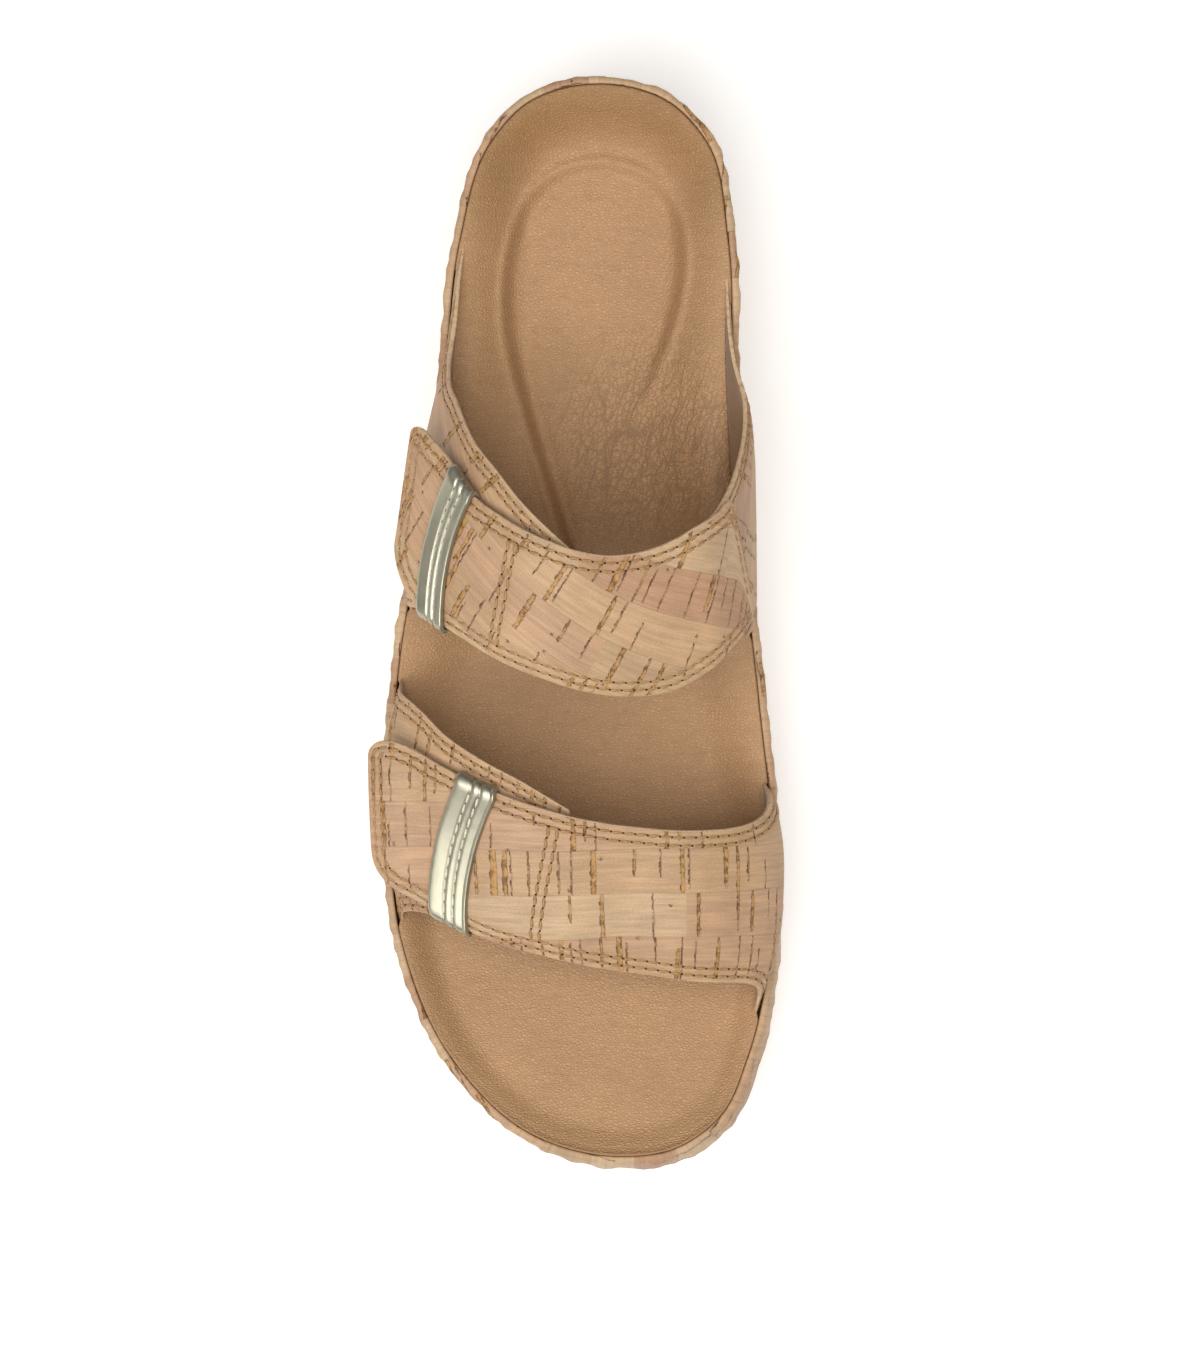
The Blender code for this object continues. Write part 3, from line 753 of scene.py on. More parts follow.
class SandalColours(bpy.types.PropertyGroup):
    """Colours of the finish."""

    cork_pink: colour_setting("Cork, pink", "#B58D6C", "Darkest of the cork strips")
    cork_rose: colour_setting("Cork, rose", "#BC9674", "Pinkish cork strips")
    cork_tan: colour_setting("Cork, tan", "#BE9A75", "Yellowish cork strips")
    cork_grey: colour_setting("Cork, grey", "#BA9975", "Greyish cork strips")
    cork_pale: colour_setting("Cork, pale", "#C2A27E", "Lightest of the cork strips")
    slit_dark: colour_setting("Slit edge", "#583519", "Burnt edges of the slits and specks")
    slit_ochre: colour_setting("Slit filling", "#C0904E", "Crumbly filling of the wide slits")
    raw_edge: colour_setting("Cut edge", "#CFB18C", "Backing cloth that shows on cut edges")
    # Painted shade: the lining is set darker than the suede's own tan, so that less light bounces under the
    # straps and the footbed there lies in deeper shade
    lining: colour_setting("Lining", "#8A6743", "Suede on the inside of the straps")
    hook_tape: colour_setting("Hook tape", "#5A4A3C", "Hook-and-loop tape under the tabs")
    footbed: colour_setting("Footbed leather", "#B48B62", "Leather of the footbed")
    # Painted shade: a darker, browner leather colour that stands in for the shade on the heel cup's steep
    # wall near its rim
    heel_rim_shade: colour_setting("Painted heel rim shade", "#A1784C", "Painted shade on the footbed leather at the heel cup's rim")
    thread: colour_setting("Thread", "#A37C4C", "Sewing thread of the straps")
    needle_hole: colour_setting("Needle hole", "#3E2715", "Shadow in the needle holes")
    gold: colour_setting("Gold leather", "#ADA995", "Metallic leather of the keepers")
    gold_thread: colour_setting("Keeper thread", "#D8D0B4", "Sewing thread of the keepers")
    rubber: colour_setting("Outsole rubber", "#B6966F", "Rubber of the outsole")
    floor: colour_setting("Floor", "#F4F3F1", "Studio floor")


def sizes():
    """Size settings, in metres."""
    return bpy.context.scene.sandal_sizes


def shade(name):
    """A colour setting with full alpha."""
    return (*getattr(bpy.context.scene.sandal_colours, name), 1.0)


SMOOTH = {"interpolation_type": "SMOOTHSTEP"}
CELL_EDGES = {"output": "Distance", "feature": "DISTANCE_TO_EDGE"}


def set_inputs(node, inputs):
    """Sets input sockets, each to a constant or linked to another node's output."""
    for key, value in inputs.items():
        if isinstance(value, bpy.types.NodeSocket):
            node.id_data.links.new(value, node.inputs[key])
        else:
            node.inputs[key].default_value = value


def add_node(tree, kind, inputs=(), operation=None, output=0, stops=(), **settings):
    """Adds a node with its settings, inputs by name or in order, and colour stops; gives back one output."""
    node = tree.nodes.new("ShaderNode" + kind)
    if operation:
        node.operation = operation
    for name, value in settings.items():
        setattr(node, name, value)
    set_inputs(node, inputs if isinstance(inputs, dict) else dict(enumerate(inputs)))
    if stops:
        elements = node.color_ramp.elements
        while len(elements) < len(stops):
            elements.new(1.0)
        for element, (place, colour) in zip(elements, stops):
            element.position = place
            element.color = colour
    return node.outputs[output]


def new_material(name, **shader_values):
    """Material of that name, what adds its nodes, and its Principled shader with constant sockets set."""
    made = bpy.data.materials.new(name)
    made.use_nodes = True
    shader = made.node_tree.nodes["Principled BSDF"]
    set_inputs(shader, {socket.replace("_", " "): value for socket, value in shader_values.items()})
    return made, partial(add_node, made.node_tree), shader


def mottled(name, colour, grain, contrast, detail=2.0, cloud=None, relief=None, **shader_values):
    """Material with a fine grain in colour and relief, and wider clouds in its colour where asked, in mm.

    contrast holds two noise values and the colour's strength at each, relief the bump's strength and height.
    """
    made, add, shader = new_material(name, **shader_values)
    place = add("TexCoord", output="Object")
    fine = add("TexNoise", {"Vector": place, "Scale": 1 / (grain * MM), "Detail": detail})
    both = fine
    if cloud:
        wide = add("TexNoise", {"Vector": place, "Scale": 1 / (cloud * MM), "Detail": 2.0})
        both = add("Math", (fine, wide), "ADD")
    value = add("MapRange", (both, *contrast))
    tinted = add("VectorMath", {0: shade(colour)[:3], "Scale": value}, "SCALE")
    set_inputs(shader, {"Base Color": tinted})
    if relief:
        bump = add("Bump", {"Height": fine, "Strength": relief[0], "Distance": relief[1] * MM})
        set_inputs(shader, {"Normal": bump})
    return made


def cork_fabric():
    """Cork cloth: thin strips of cork glued to cloth, matt, with growth lines, burnt slits and specks."""
    made, add, shader = new_material("sliced_cork_fabric", Roughness=0.62, IOR=1.45)
    strip_mm, pitch_mm = sizes().cork_strip / MM, sizes().slit_pitch / MM
    uv = add("UVMap", output="UV", uv_map=UV_NAME)
    place = add("VectorMath", {0: uv, "Scale": 1 / MM}, "SCALE")
    split = add("SeparateXYZ", (place,)).node.outputs
    # Strips side by side, each made of long blocks; a colour ramp holds each strip's colour, and its share of
    # slits as alpha
    sway = add("TexNoise", {"Vector": place, "Scale": 0.06, "Detail": 1.0})
    edge = add("Math", (sway, 0.9, split[1]), "MULTIPLY_ADD")
    strip = add("Math", (edge, strip_mm), "DIVIDE")
    row = add("Math", (strip,), "FLOOR")
    start = add("Math", (row, 37.0, split[0]), "MULTIPLY_ADD")
    block = add("Math", (start, 88.0), "DIVIDE")
    block = add("Math", (block,), "FLOOR")
    order = add("Math", (block, 3.0, row), "MULTIPLY_ADD")
    order = add("Math", (order, 1 / len(CORK_STRIPS), 0.02), "MULTIPLY_ADD")
    order = add("Math", (order,), "FRACT")
    stops = [(i / len(CORK_STRIPS), (*shade(s.colour)[:3], s.slits)) for i, s in enumerate(CORK_STRIPS)]
    ramp = add("ValToRGB", (order,), stops=stops)
    ramp.node.color_ramp.interpolation = "CONSTANT"
    cell = add("CombineXYZ", (row, block))
    chance = add("TexWhiteNoise", {"Vector": cell}, noise_dimensions="2D")
    # A thin painted shadow darkens the cloth along each joint between two strips
    seam = add("Math", (strip, 0.5), "PINGPONG")
    seam = add("MapRange", (seam, 0.004, 0.022, 0.84, 1.0))
    # Growth lines along the strip, about 1 mm apart, that differ from block to block
    long_way = add("VectorMath", (place, (0.06, 0.8, 1.0)), "MULTIPLY")
    lines_at = add("VectorMath", (cell, (13.7, 7.9, 3.1), long_way), "MULTIPLY_ADD")
    lines = add(
        "TexNoise", {"Vector": lines_at, "Scale": 1.0, "Detail": 3.0, "Roughness": 0.6, "Distortion": 0.35}
    )
    line_dark = add("MapRange", (lines, 0.36, 0.66, 0.87, 1.07))
    hair_at = add("VectorMath", (lines_at, (1.6, 3.4, 1.0)), "MULTIPLY")
    hair = add("TexNoise", {"Vector": hair_at, "Scale": 1.0, "Detail": 2.0})
    hair_dark = add("MapRange", (hair, 0.35, 0.65, 0.93, 1.05))
    grit = add("TexNoise", {"Vector": place, "Scale": 2.1, "Detail": 2.0})
    grit_dark = add("MapRange", (grit, 0.25, 0.75, 0.89, 1.09))
    cloud = add("TexNoise", {"Vector": place, "Scale": 0.1, "Detail": 2.0})
    cloud_dark = add("MapRange", (cloud, 0.3, 0.7, 0.92, 1.07))
    value = line_dark
    for part in (hair_dark, grit_dark, cloud_dark, seam):
        value = add("Math", (value, part), "MULTIPLY")
    grained = add("VectorMath", {0: ramp, "Scale": value}, "SCALE")
    # Slits stand across their strip at chance distances, each with a place, length and width of its own
    slide = add("Math", (chance, 371.0, split[0]), "MULTIPLY_ADD")
    curl = add("TexNoise", {"Vector": place, "Scale": 0.5, "Detail": 3.0, "Roughness": 0.65})
    slide = add("Math", (curl, 1.5, slide), "MULTIPLY_ADD")
    slit_at = add("Math", (slide, pitch_mm), "DIVIDE")
    cells = add(
        "TexVoronoi", {"W": slit_at, "Scale": 1.0, "Randomness": 0.9}, voronoi_dimensions="1D"
    ).node.outputs
    luck = add("SeparateColor", (cells["Color"],)).node.outputs
    more = add("TexWhiteNoise", {"W": cells["W"]}, output="Color", noise_dimensions="1D")
    more = add("SeparateColor", (more,)).node.outputs
    middle = add("MapRange", {0: more[0], 3: 0.15, 4: 0.85})
    wide = add("Math", (luck[0], 2.6), "POWER")
    reach = add("MapRange", {0: more[1], 3: 0.14, 4: 0.85})
    reach = add("Math", (wide, 0.4, reach), "MULTIPLY_ADD")
    far = add("Math", (strip,), "FRACT")
    far = add("Math", (far, middle), "SUBTRACT")
    far = add("Math", (far, reach), "DIVIDE")
    far = add("Math", (far, far), "MULTIPLY")
    taper = add("MapRange", (far, 0.0, 1.0, 1.0, 0.0))
    taper = add("Math", (taper, 0.3), "POWER")
    wide = add("MapRange", {0: wide, 3: 0.12, 4: 0.85})
    wide = add("Math", (wide, taper), "MULTIPLY")
    wide = add("Math", (grit, 0.5, wide), "MULTIPLY_ADD")
    there = add("Math", (luck[2], ramp.node.outputs[1]), "LESS_THAN")
    there = add("Math", (taper, there), "MULTIPLY")
    there = add("Math", (there, 0.1), "GREATER_THAN")
    aside = add("Math", (slit_at, cells["W"]), "SUBTRACT")
    aside = add("Math", (aside, pitch_mm), "MULTIPLY")
    aside = add("Math", (aside,), "ABSOLUTE")
    depth = add("Math", (wide, aside), "SUBTRACT")
    burnt = add("MapRange", (depth, 0.08, 0.26), **SMOOTH)
    burnt = add("Math", (burnt, there), "MULTIPLY")
    crumb = add("MapRange", (depth, 0.32, 0.46), **SMOOTH)
    crumb = add("Math", (crumb, there), "MULTIPLY")
    # Broken colour along the burnt edges and in the filling, and a few round specks
    patchy = add("MapRange", (curl, 0.4, 0.58, 0.35, 1.0))
    scorch = add("Math", (burnt, patchy), "MULTIPLY")
    loose = add("MapRange", (curl, 0.42, 0.62, 0.9, 0.25))
    crumb = add("Math", (crumb, loose), "MULTIPLY")
    dots = add("TexVoronoi", {"Vector": place, "Scale": 0.13}, voronoi_dimensions="2D")
    kept = add("SeparateColor", (dots.node.outputs["Color"],))
    dots = add("Math", (grit, 0.18, dots.node.outputs["Distance"]), "MULTIPLY_ADD")
    speck = add("MapRange", (dots, 0.155, 0.11, 0.0, 0.75))
    kept = add("Math", (kept, 0.78), "GREATER_THAN")
    speck = add("Math", (speck, kept), "MULTIPLY")
    scorch = add("Math", (scorch, speck), "MAXIMUM")
    mixed = add("Mix", {0: scorch, 6: grained, 7: shade("slit_dark")}, output=2, data_type="RGBA")
    mixed = add("Mix", {0: crumb, 6: mixed, 7: shade("slit_ochre")}, output=2, data_type="RGBA")
    # Slits are pits, growth lines are low waves
    relief = add("Math", (scorch, -1.0, lines), "MULTIPLY_ADD")
    relief = add("Math", (grit, 0.35, relief), "MULTIPLY_ADD")
    bump = add("Bump", {"Height": relief, "Strength": 0.7, "Distance": 0.22 * MM})
    set_inputs(shader, {"Base Color": mixed, "Normal": bump})
    return made


def backing_edge():
    """Cut edge: cotton backing and glue, pale and fibrous, with no gloss."""
    made, add, shader = new_material("cotton_cut_edge", Roughness=0.9, IOR=1.45)
    place = add("TexCoord", output="Object")
    fibre = add("TexNoise", {"Vector": place, "Scale": 1 / (1.1 * MM), "Detail": 4.0})
    stops = ((0.30, shade("cork_pink")), (0.52, shade("raw_edge")), (0.75, shade("cork_pale")))
    ramp = add("ValToRGB", (fibre,), stops=stops)
    bump = add("Bump", {"Height": fibre, "Strength": 0.9, "Distance": 0.35 * MM})
    set_inputs(shader, {"Base Color": ramp, "Normal": bump})
    return made


def suede_lining():
    """Suede lining: brushed nap, so it is matt with a soft sheen and small light and dark clouds."""
    look = {"Roughness": 0.92, "IOR": 1.45, "Sheen_Weight": 0.25, "Sheen_Roughness": 0.5}
    # The suede's colour is painted darker than its own, to deepen the shade under the straps
    return mottled("suede_lining", "lining", 0.7, (0.6, 1.4, 0.82, 1.15), 5.0, 11, (0.5, 0.15), **look)


def hook_tape():
    """Nylon hook tape: a dense field of tiny loops, dark and matt."""
    made, add, shader = new_material("nylon_hook_tape", Roughness=0.8, IOR=1.53)
    place = add("TexCoord", output="Object")
    loops = add("TexVoronoi", {"Vector": place, "Scale": 1 / (0.9 * MM)}, output="Distance")
    value = add("MapRange", (loops, 0.1, 0.8, 1.25, 0.6))
    colour = add("VectorMath", {0: shade("hook_tape")[:3], "Scale": value}, "SCALE")
    bump = add("Bump", {"Height": loops, "Strength": 0.8, "Distance": 0.4 * MM}, invert=True)
    set_inputs(shader, {"Base Color": colour, "Normal": bump})
    return made


def footbed_leather():
    """Full-grain leather over foam: millimetre pebbles, a low waxy sheen, creases where it flexes."""
    made, add, shader = new_material("pebbled_leather", IOR=1.5)
    pebble_size = sizes().leather_grain
    place = add("TexCoord", output="Object")
    warp = add("TexNoise", {"Vector": place, "Scale": 1 / (3 * MM), "Detail": 3.0}, output="Color")
    bent = add("VectorMath", (warp, (1.3 * MM, 1.3 * MM, 1.3 * MM), place), "MULTIPLY_ADD")
    grain_at = add("VectorMath", (bent, (0.78, 1.2, 1.0)), "MULTIPLY")
    pebble = add("TexVoronoi", {"Vector": grain_at, "Scale": 1 / pebble_size}, **CELL_EDGES)
    valley = add("MapRange", (pebble, 0.0, 0.14), **SMOOTH)
    pebble = add("MapRange", (pebble, 0.0, 0.36), **SMOOTH)
    fine = add("TexNoise", {"Vector": place, "Scale": 1 / (0.6 * MM), "Detail": 3.0})
    # Short creases across the shoe everywhere, and a slanting crackle at the flexing waist
    slant = (0.0, 0.0, -0.32)
    crossing = add("VectorMath", (bent, (0.16 / MM, 0.75 / MM, 0.16 / MM)), "MULTIPLY")
    across = add("TexNoise", {"Vector": crossing, "Scale": 1.0, "Detail": 2.0})
    across = add("MapRange", (across, 0.5, 0.66), **SMOOTH)
    net = (1.1 * MM, 1.9 * MM, 1.9 * MM)
    net_at = add("Mapping", {"Vector": bent, "Rotation": slant, "Scale": net}, vector_type="TEXTURE")
    crease = add("TexVoronoi", {"Vector": net_at, "Scale": 1.0}, **CELL_EDGES)
    crease = add("MapRange", (crease, 0.0, 0.2, 0.75, 0.0), **SMOOTH)
    cracks = (2.6 * MM, 13 * MM, 13 * MM)
    crack_at = add("Mapping", {"Vector": bent, "Rotation": slant, "Scale": cracks}, vector_type="TEXTURE")
    crack = add("TexNoise", {"Vector": crack_at, "Scale": 1.0, "Detail": 1.0})
    crack = add("Math", (crack, 0.5), "PINGPONG")
    crack = add("MapRange", (crack, 0.44, 0.5), **SMOOTH)
    crease = add("Math", (crease, crack), "MAXIMUM")
    waist = (AXIS_X * MM + 13 * MM, (LENGTH / 2 - 82 + AXIS_Y) * MM, 33 * MM)
    away = add("VectorMath", (place, waist), "DISTANCE", "Value")
    flexed = add("MapRange", (away, 12 * MM, 33 * MM, 0.9, 0.0), **SMOOTH)
    crease = add("Math", (crease, flexed), "MULTIPLY")
    crease = add("Math", (across, 0.14, crease), "MULTIPLY_ADD")
    cloud = add("TexNoise", {"Vector": place, "Scale": 1 / (24 * MM), "Detail": 3.0})
    cloud_value = add("MapRange", (cloud, 0.3, 0.7, 0.95, 1.05))
    valley_value = add("MapRange", (valley, 0.0, 1.0, 0.82, 1.02))
    crease_value = add("MapRange", (crease, 0.0, 1.0, 1.02, 0.66))
    # Painted shade round the heel cup's rim: away from the seat's middle, and only at the heel, the leather
    # is mixed towards a darker, browner colour
    seat = (AXIS_X * MM - 1 * MM, (LENGTH / 2 - 44 + AXIS_Y) * MM, 36 * MM)
    rim_shade_mask = add("VectorMath", (place, seat), "DISTANCE", "Value")
    rim_shade_mask = add("MapRange", (rim_shade_mask, 25 * MM, 39 * MM), **SMOOTH)
    heel = add("SeparateXYZ", (place,), output=1)
    heel = add("MapRange", (heel, 78 * MM, 104 * MM), **SMOOTH)
    rim_shade_mask = add("Math", (rim_shade_mask, heel), "MULTIPLY")
    # Painted light: the flexing waist is made lighter, partly to make up for its dark cracks and partly for
    # the light that the pebbles between them catch
    waist_light = add("MapRange", (flexed, 0.0, 0.9, 1.0, 1.12))
    value = cloud_value
    for part in (valley_value, crease_value, waist_light):
        value = add("Math", (value, part), "MULTIPLY")
    skin = add("Mix", {0: rim_shade_mask, 6: shade("footbed"), 7: shade("heel_rim_shade")}, output=2, data_type="RGBA")
    colour = add("VectorMath", {0: skin, "Scale": value}, "SCALE")
    rough = add("MapRange", (pebble, 0.0, 1.0, 0.66, 0.56))
    relief = add("Math", (fine, 0.5, pebble), "MULTIPLY_ADD")
    relief = add("Math", (crease, -0.9, relief), "MULTIPLY_ADD")
    bump = add("Bump", {"Height": relief, "Strength": 0.8, "Distance": 0.15 * MM})
    set_inputs(shader, {"Base Color": colour, "Roughness": rough, "Normal": bump})
    return made


def gold_leather():
    """Foil-coated leather: a thin pale gold metal film on leather, so it is glossy with small dents."""
    made, add, shader = new_material("gold_foil_leather", Metallic=0.92)
    place = add("TexCoord", output="Object")
    dents = add("TexNoise", {"Vector": place, "Scale": 1 / (3.2 * MM), "Detail": 2.0})
    pores = add("TexNoise", {"Vector": place, "Scale": 1 / (0.5 * MM), "Detail": 2.0})
    value = add("MapRange", (dents, 0.3, 0.7, 0.95, 1.04))
    colour = add("VectorMath", {0: shade("gold")[:3], "Scale": value}, "SCALE")
    rough = add("MapRange", (dents, 0.3, 0.7, 0.38, 0.46))
    relief = add("Math", (pores, 0.04, dents), "MULTIPLY_ADD")
    bump = add("Bump", {"Height": relief, "Strength": 0.16, "Distance": 0.3 * MM})
    set_inputs(shader, {"Base Color": colour, "Roughness": rough, "Normal": bump})
    return made


def sewing_thread(name, colour):
    """Waxed polyester thread: a soft gloss on its fibres, lighter and darker along the twist."""
    return mottled(name, colour, 0.6, (0.3, 0.7, 0.72, 1.2), relief=(0.6, 0.1), Roughness=0.55, IOR=1.5)


def needle_hole():
    """Needle hole: painted shade in the pit that the needle leaves in the cloth and leather."""
    return mottled("needle_hole", "needle_hole", 1.5, (0.3, 0.7, 0.7, 1.5), Roughness=0.95, IOR=1.4)


def outsole_rubber():
    """Moulded rubber: matt, faintly speckled, with the fine grit of the mould."""
    look = {"Roughness": 0.7, "IOR": 1.52}
    return mottled("moulded_rubber", "rubber", 0.8, (0.6, 1.4, 0.86, 1.1), 3.0, 16, (0.35, 0.2), **look)


def studio_floor():
    """Shooting table: white acrylic lit from below, matt, with a trace of unevenness."""
    look = {"Roughness": 0.85, "IOR": 1.45, "Emission_Color": shade("floor"), "Emission_Strength": 0.35}
    return mottled("backlit_acrylic", "floor", 1000 / 3, (0.3, 0.7, 0.99, 1.0), **look)


def shared(maker):
    """The material that a maker gives, made once for all the pieces that show it."""
    if maker not in MADE:
        MADE[maker] = maker()
    return MADE[maker]


def select_only(*pieces):
    """Selects these pieces alone and makes the last one active."""
    bpy.ops.object.select_all(action="DESELECT")
    for piece in pieces:
        piece.select_set(True)
    bpy.context.view_layer.objects.active = pieces[-1]


def cut_sheet(name, points, uv, materials, numbers=None):
    """A grid laid over points (rows, columns, 3) in the frame, with its UV map in metres and materials."""
    rows, columns = points.shape[:2]
    bpy.ops.mesh.primitive_grid_add(x_subdivisions=columns - 1, y_subdivisions=rows - 1, size=1.0)
    piece = bpy.context.active_object
    mesh = piece.data
    piece.name = mesh.name = name
    mesh.vertices.foreach_set("co", points.reshape(-1).astype(np.float32))
    corner = np.empty(len(mesh.loops), np.int32)
    mesh.loops.foreach_get("vertex_index", corner)
    mesh.uv_layers[UV_NAME].data.foreach_set("uv", uv.reshape(-1, 2)[corner].reshape(-1).astype(np.float32))
    for made in materials:
        mesh.materials.append(made)
    if numbers is not None:
        mesh.polygons.foreach_set("material_index", numbers.reshape(-1).astype(np.int32))
    bpy.ops.object.mode_set(mode="EDIT")
    bpy.ops.mesh.select_all(action="SELECT")
    bpy.ops.mesh.remove_doubles(threshold=MERGE)
    bpy.ops.mesh.dissolve_degenerate(threshold=MERGE)
    bpy.ops.mesh.select_all(action="SELECT")
    bpy.ops.mesh.normals_make_consistent(inside=False)
    bpy.ops.object.mode_set(mode="OBJECT")
    bpy.ops.object.shade_smooth()
    return piece


def finish_piece(piece, node):
    """Attaches the piece to the body and hides the solid part that it stands for."""
    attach(piece, BODY)
    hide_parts(node)


def plan_piece(name, loops, spine, made):
    """Closed piece from stacked plan loops, each end run in to the spine, where its two sides meet."""
    mirrored = (-np.arange(len(spine))) % len(spine)
    first, last = (at_height(spine, (loop[:, 2] + loop[mirrored, 2]) / 2) for loop in (loops[0], loops[-1]))
    stack = np.array([first, *loops, last])
    stack = np.concatenate([stack, stack[:, :1]], axis=1)
    walk = np.concatenate([RIM_LENGTH, [RIM_LENGTH[-1] + RIM_STEP[0]]])
    run = run_length(stack)
    uv = np.stack([run, np.broadcast_to(walk, run.shape)], -1) * MM
    return cut_sheet(name, to_frame(stack), uv, [made])


def at_height(plan, height):
    """(across, along, height) rows from plan rows."""
    return np.column_stack([plan[:, 1], plan[:, 0], np.broadcast_to(height, len(plan))])


def spine_of(plan):
    """Middle line of a closed plan outline, as one point for each point of the outline."""
    partner = plan[(-np.arange(len(plan))) % len(plan)]
    middle = (plan + partner) / 2
    order = np.argsort(middle[:, 0])
    along = np.clip(middle[:, 0], SPINE_ENDS[0], LENGTH - SPINE_ENDS[1])
    return np.column_stack([along, np.interp(along, middle[order, 0], middle[order, 1])])


def fan(spine, edge, shares, height):
    """Plan loops at shares of the way from a spine to an edge, at heights given for their places along."""
    plans = [spine + (edge - spine) * share for share in shares]
    return [at_height(plan, height(plan[:, 0])) for plan in plans]


def sole_gathers(height_share):
    """How far the gathers of the wrapping cloth stand out round the sole, from 0 to 1."""
    near = wander(RIM_LENGTH / GATHER_LENGTHS[0], height_share * 1.3, seed=3.0)
    wide = wander(RIM_LENGTH / GATHER_LENGTHS[1], height_share * 1.1, seed=8.0)
    return np.clip(0.45 + 0.75 * near + 0.45 * wide, 0.0, 1.0)


def build_wrap():
    """Cloth wrap of the wedge: gathered wall, rolled lip and the tray under the footbed."""
    under, lip, tray = wedge_z(RIM[:, 0]), lip_z(RIM[:, 0]), tray_z(RIM[:, 0])
    lip_in, base_in = RIM[:, 2], RIM[:, 3]
    inside = lip_in + LIP_THICKNESS
    ripple = sizes().wrap_ripple / MM
    spine = spine_of(ring(inside))
    base = ring(base_in + WRAP_TUCK)
    loops = [*fan(spine, base, (0.02, 0.35, 0.7), wedge_z), at_height(base, under)]
    top = lip - LIP_ROUND
    for share in (0.012, 0.03, *np.linspace(0.06, 0.94, 22)):
        bulge = WALL_BULGE * math.sin(math.pi * share) ** WALL_POWER
        gather = ripple * sole_gathers(share) * ease(share / GATHER_START)
        wall = ring(base_in + (lip_in - base_in) * share - bulge - gather)
        loops.append(at_height(wall, under + (top - under) * share))
    gather = ripple * sole_gathers(1.0)
    sink = LIP_SINK * wander(RIM_LENGTH / SINK_LENGTH, 0.0, seed=21.0)
    for angle in (0, 22, 45, 68, 90):
        turn = math.radians(angle)
        inset = lip_in + LIP_ROUND * (1 - math.cos(turn)) - gather * (1 - angle / 120)
        loops.append(at_height(ring(inset), top + (LIP_ROUND + sink) * math.sin(turn)))
    top = lip - LIP_INNER_ROUND
    for angle in (90, 60, 30, 0):
        turn = math.radians(angle)
        inset = inside - LIP_INNER_ROUND * (1 - math.cos(turn))
        loops.append(at_height(ring(inset), top + (LIP_INNER_ROUND + sink * angle / 90) * math.sin(turn)))
    loops += [at_height(ring(inside), top + (tray - top) * share) for share in (0.3, 0.65, 1.0)]
    loops += fan(spine, ring(inside), (0.65, 0.3, 0.02), tray_z)
    piece = plan_piece("sole_wrap", loops, spine, shared(cork_fabric))
    finish_piece(piece, "midsole")


def build_outsole():
    """Rubber outsole with its flange, rounded edge and tread grooves cut across."""
    under = floor_z(RIM[:, 0])
    edge, flange = RIM[:, 3] + OUTSOLE_STEP, RIM[:, 3] * FLANGE_SHARE
    low = edge + OUTSOLE_CHAMFER
    spine = spine_of(ring(edge))
    loops = fan(spine, ring(low), (0.0, 0.35, 0.7, 0.94), floor_z)
    # Wall from the chamfer up, with a fine line round the flange: inset, and height over the underside
    wall = (
        (low, 0.0),
        ((flange + low) / 2, 0.35),
        (flange + 0.12, 1.0),
        (flange, 1.4),
        (flange, 2.0),
        (flange + 0.25, 2.15),
        (flange + 0.25, 2.4),
        (flange, 2.55),
        (flange, OUTSOLE_THICKNESS - 0.8),
        (flange + 0.1, OUTSOLE_THICKNESS - 0.55),
        (edge, OUTSOLE_THICKNESS),
    )
    loops += [at_height(ring(inset), under + height) for inset, height in wall]
    loops += fan(spine, ring(edge), (0.65, 0.3, 0.0), lambda along: floor_z(along) + OUTSOLE_THICKNESS)
    piece = plan_piece("outsole_tread", loops, spine, outsole_rubber())
    cut_grooves(piece)
    select_only(piece)
    bpy.ops.object.shade_smooth_by_angle(angle=math.radians(SHARP_ANGLE))
    finish_piece(piece, "outsole")


def cut_grooves(sole):
    """Cuts the tread grooves, with rounded corners, across the heel and the forefoot."""
    bars = []
    places = []
    for start, count in (HEEL_GROOVES, FOREFOOT_GROOVES):
        places += [start + i * GROOVE_PITCH for i in range(count)]
    for along in places:
        bpy.ops.mesh.primitive_cube_add(size=1.0, location=to_frame((GROOVE_MIDDLE, along, floor_z(along))))
        bar = bpy.context.active_object
        bar.scale = (GROOVE_BAR * MM, GROOVE_WIDTH * MM, 2 * GROOVE_DEPTH * MM)
        bpy.ops.object.transform_apply(location=True, rotation=False, scale=True)
        bpy.ops.object.mode_set(mode="EDIT")
        bpy.ops.mesh.select_all(action="SELECT")
        bpy.ops.mesh.bevel(offset=GROOVE_ROUND * MM, segments=2, affect="EDGES")
        bpy.ops.object.mode_set(mode="OBJECT")
        bars.append(bar)
    select_only(*bars)
    bpy.ops.object.join()
    cutter = bpy.context.active_object
    select_only(sole)
    cut = sole.modifiers.new("grooves", "BOOLEAN")
    cut.object = cutter
    cut.operation = "DIFFERENCE"
    bpy.ops.object.modifier_apply(modifier=cut.name)
    bpy.data.objects.remove(cutter, do_unlink=True)


def strap_window(along, inner_side):
    """1 where a strap comes up beside the footbed, 0 elsewhere, with soft ends."""
    names = ("instep_quarter", "toe_strap") if inner_side else ("instep_underlay", "toe_underlay")
    open_here = np.zeros_like(along)
    for name in names:
        rear, front = edges_at(PATTERNS[name], LEAVING_TURN if inner_side else -LEAVING_TURN)
        behind = ease((along - rear + POCKET_OVER) / POCKET_RAMP)
        ahead = ease((front + POCKET_OVER - along) / POCKET_RAMP)
        open_here = np.maximum(open_here, behind * ahead)
    return open_here


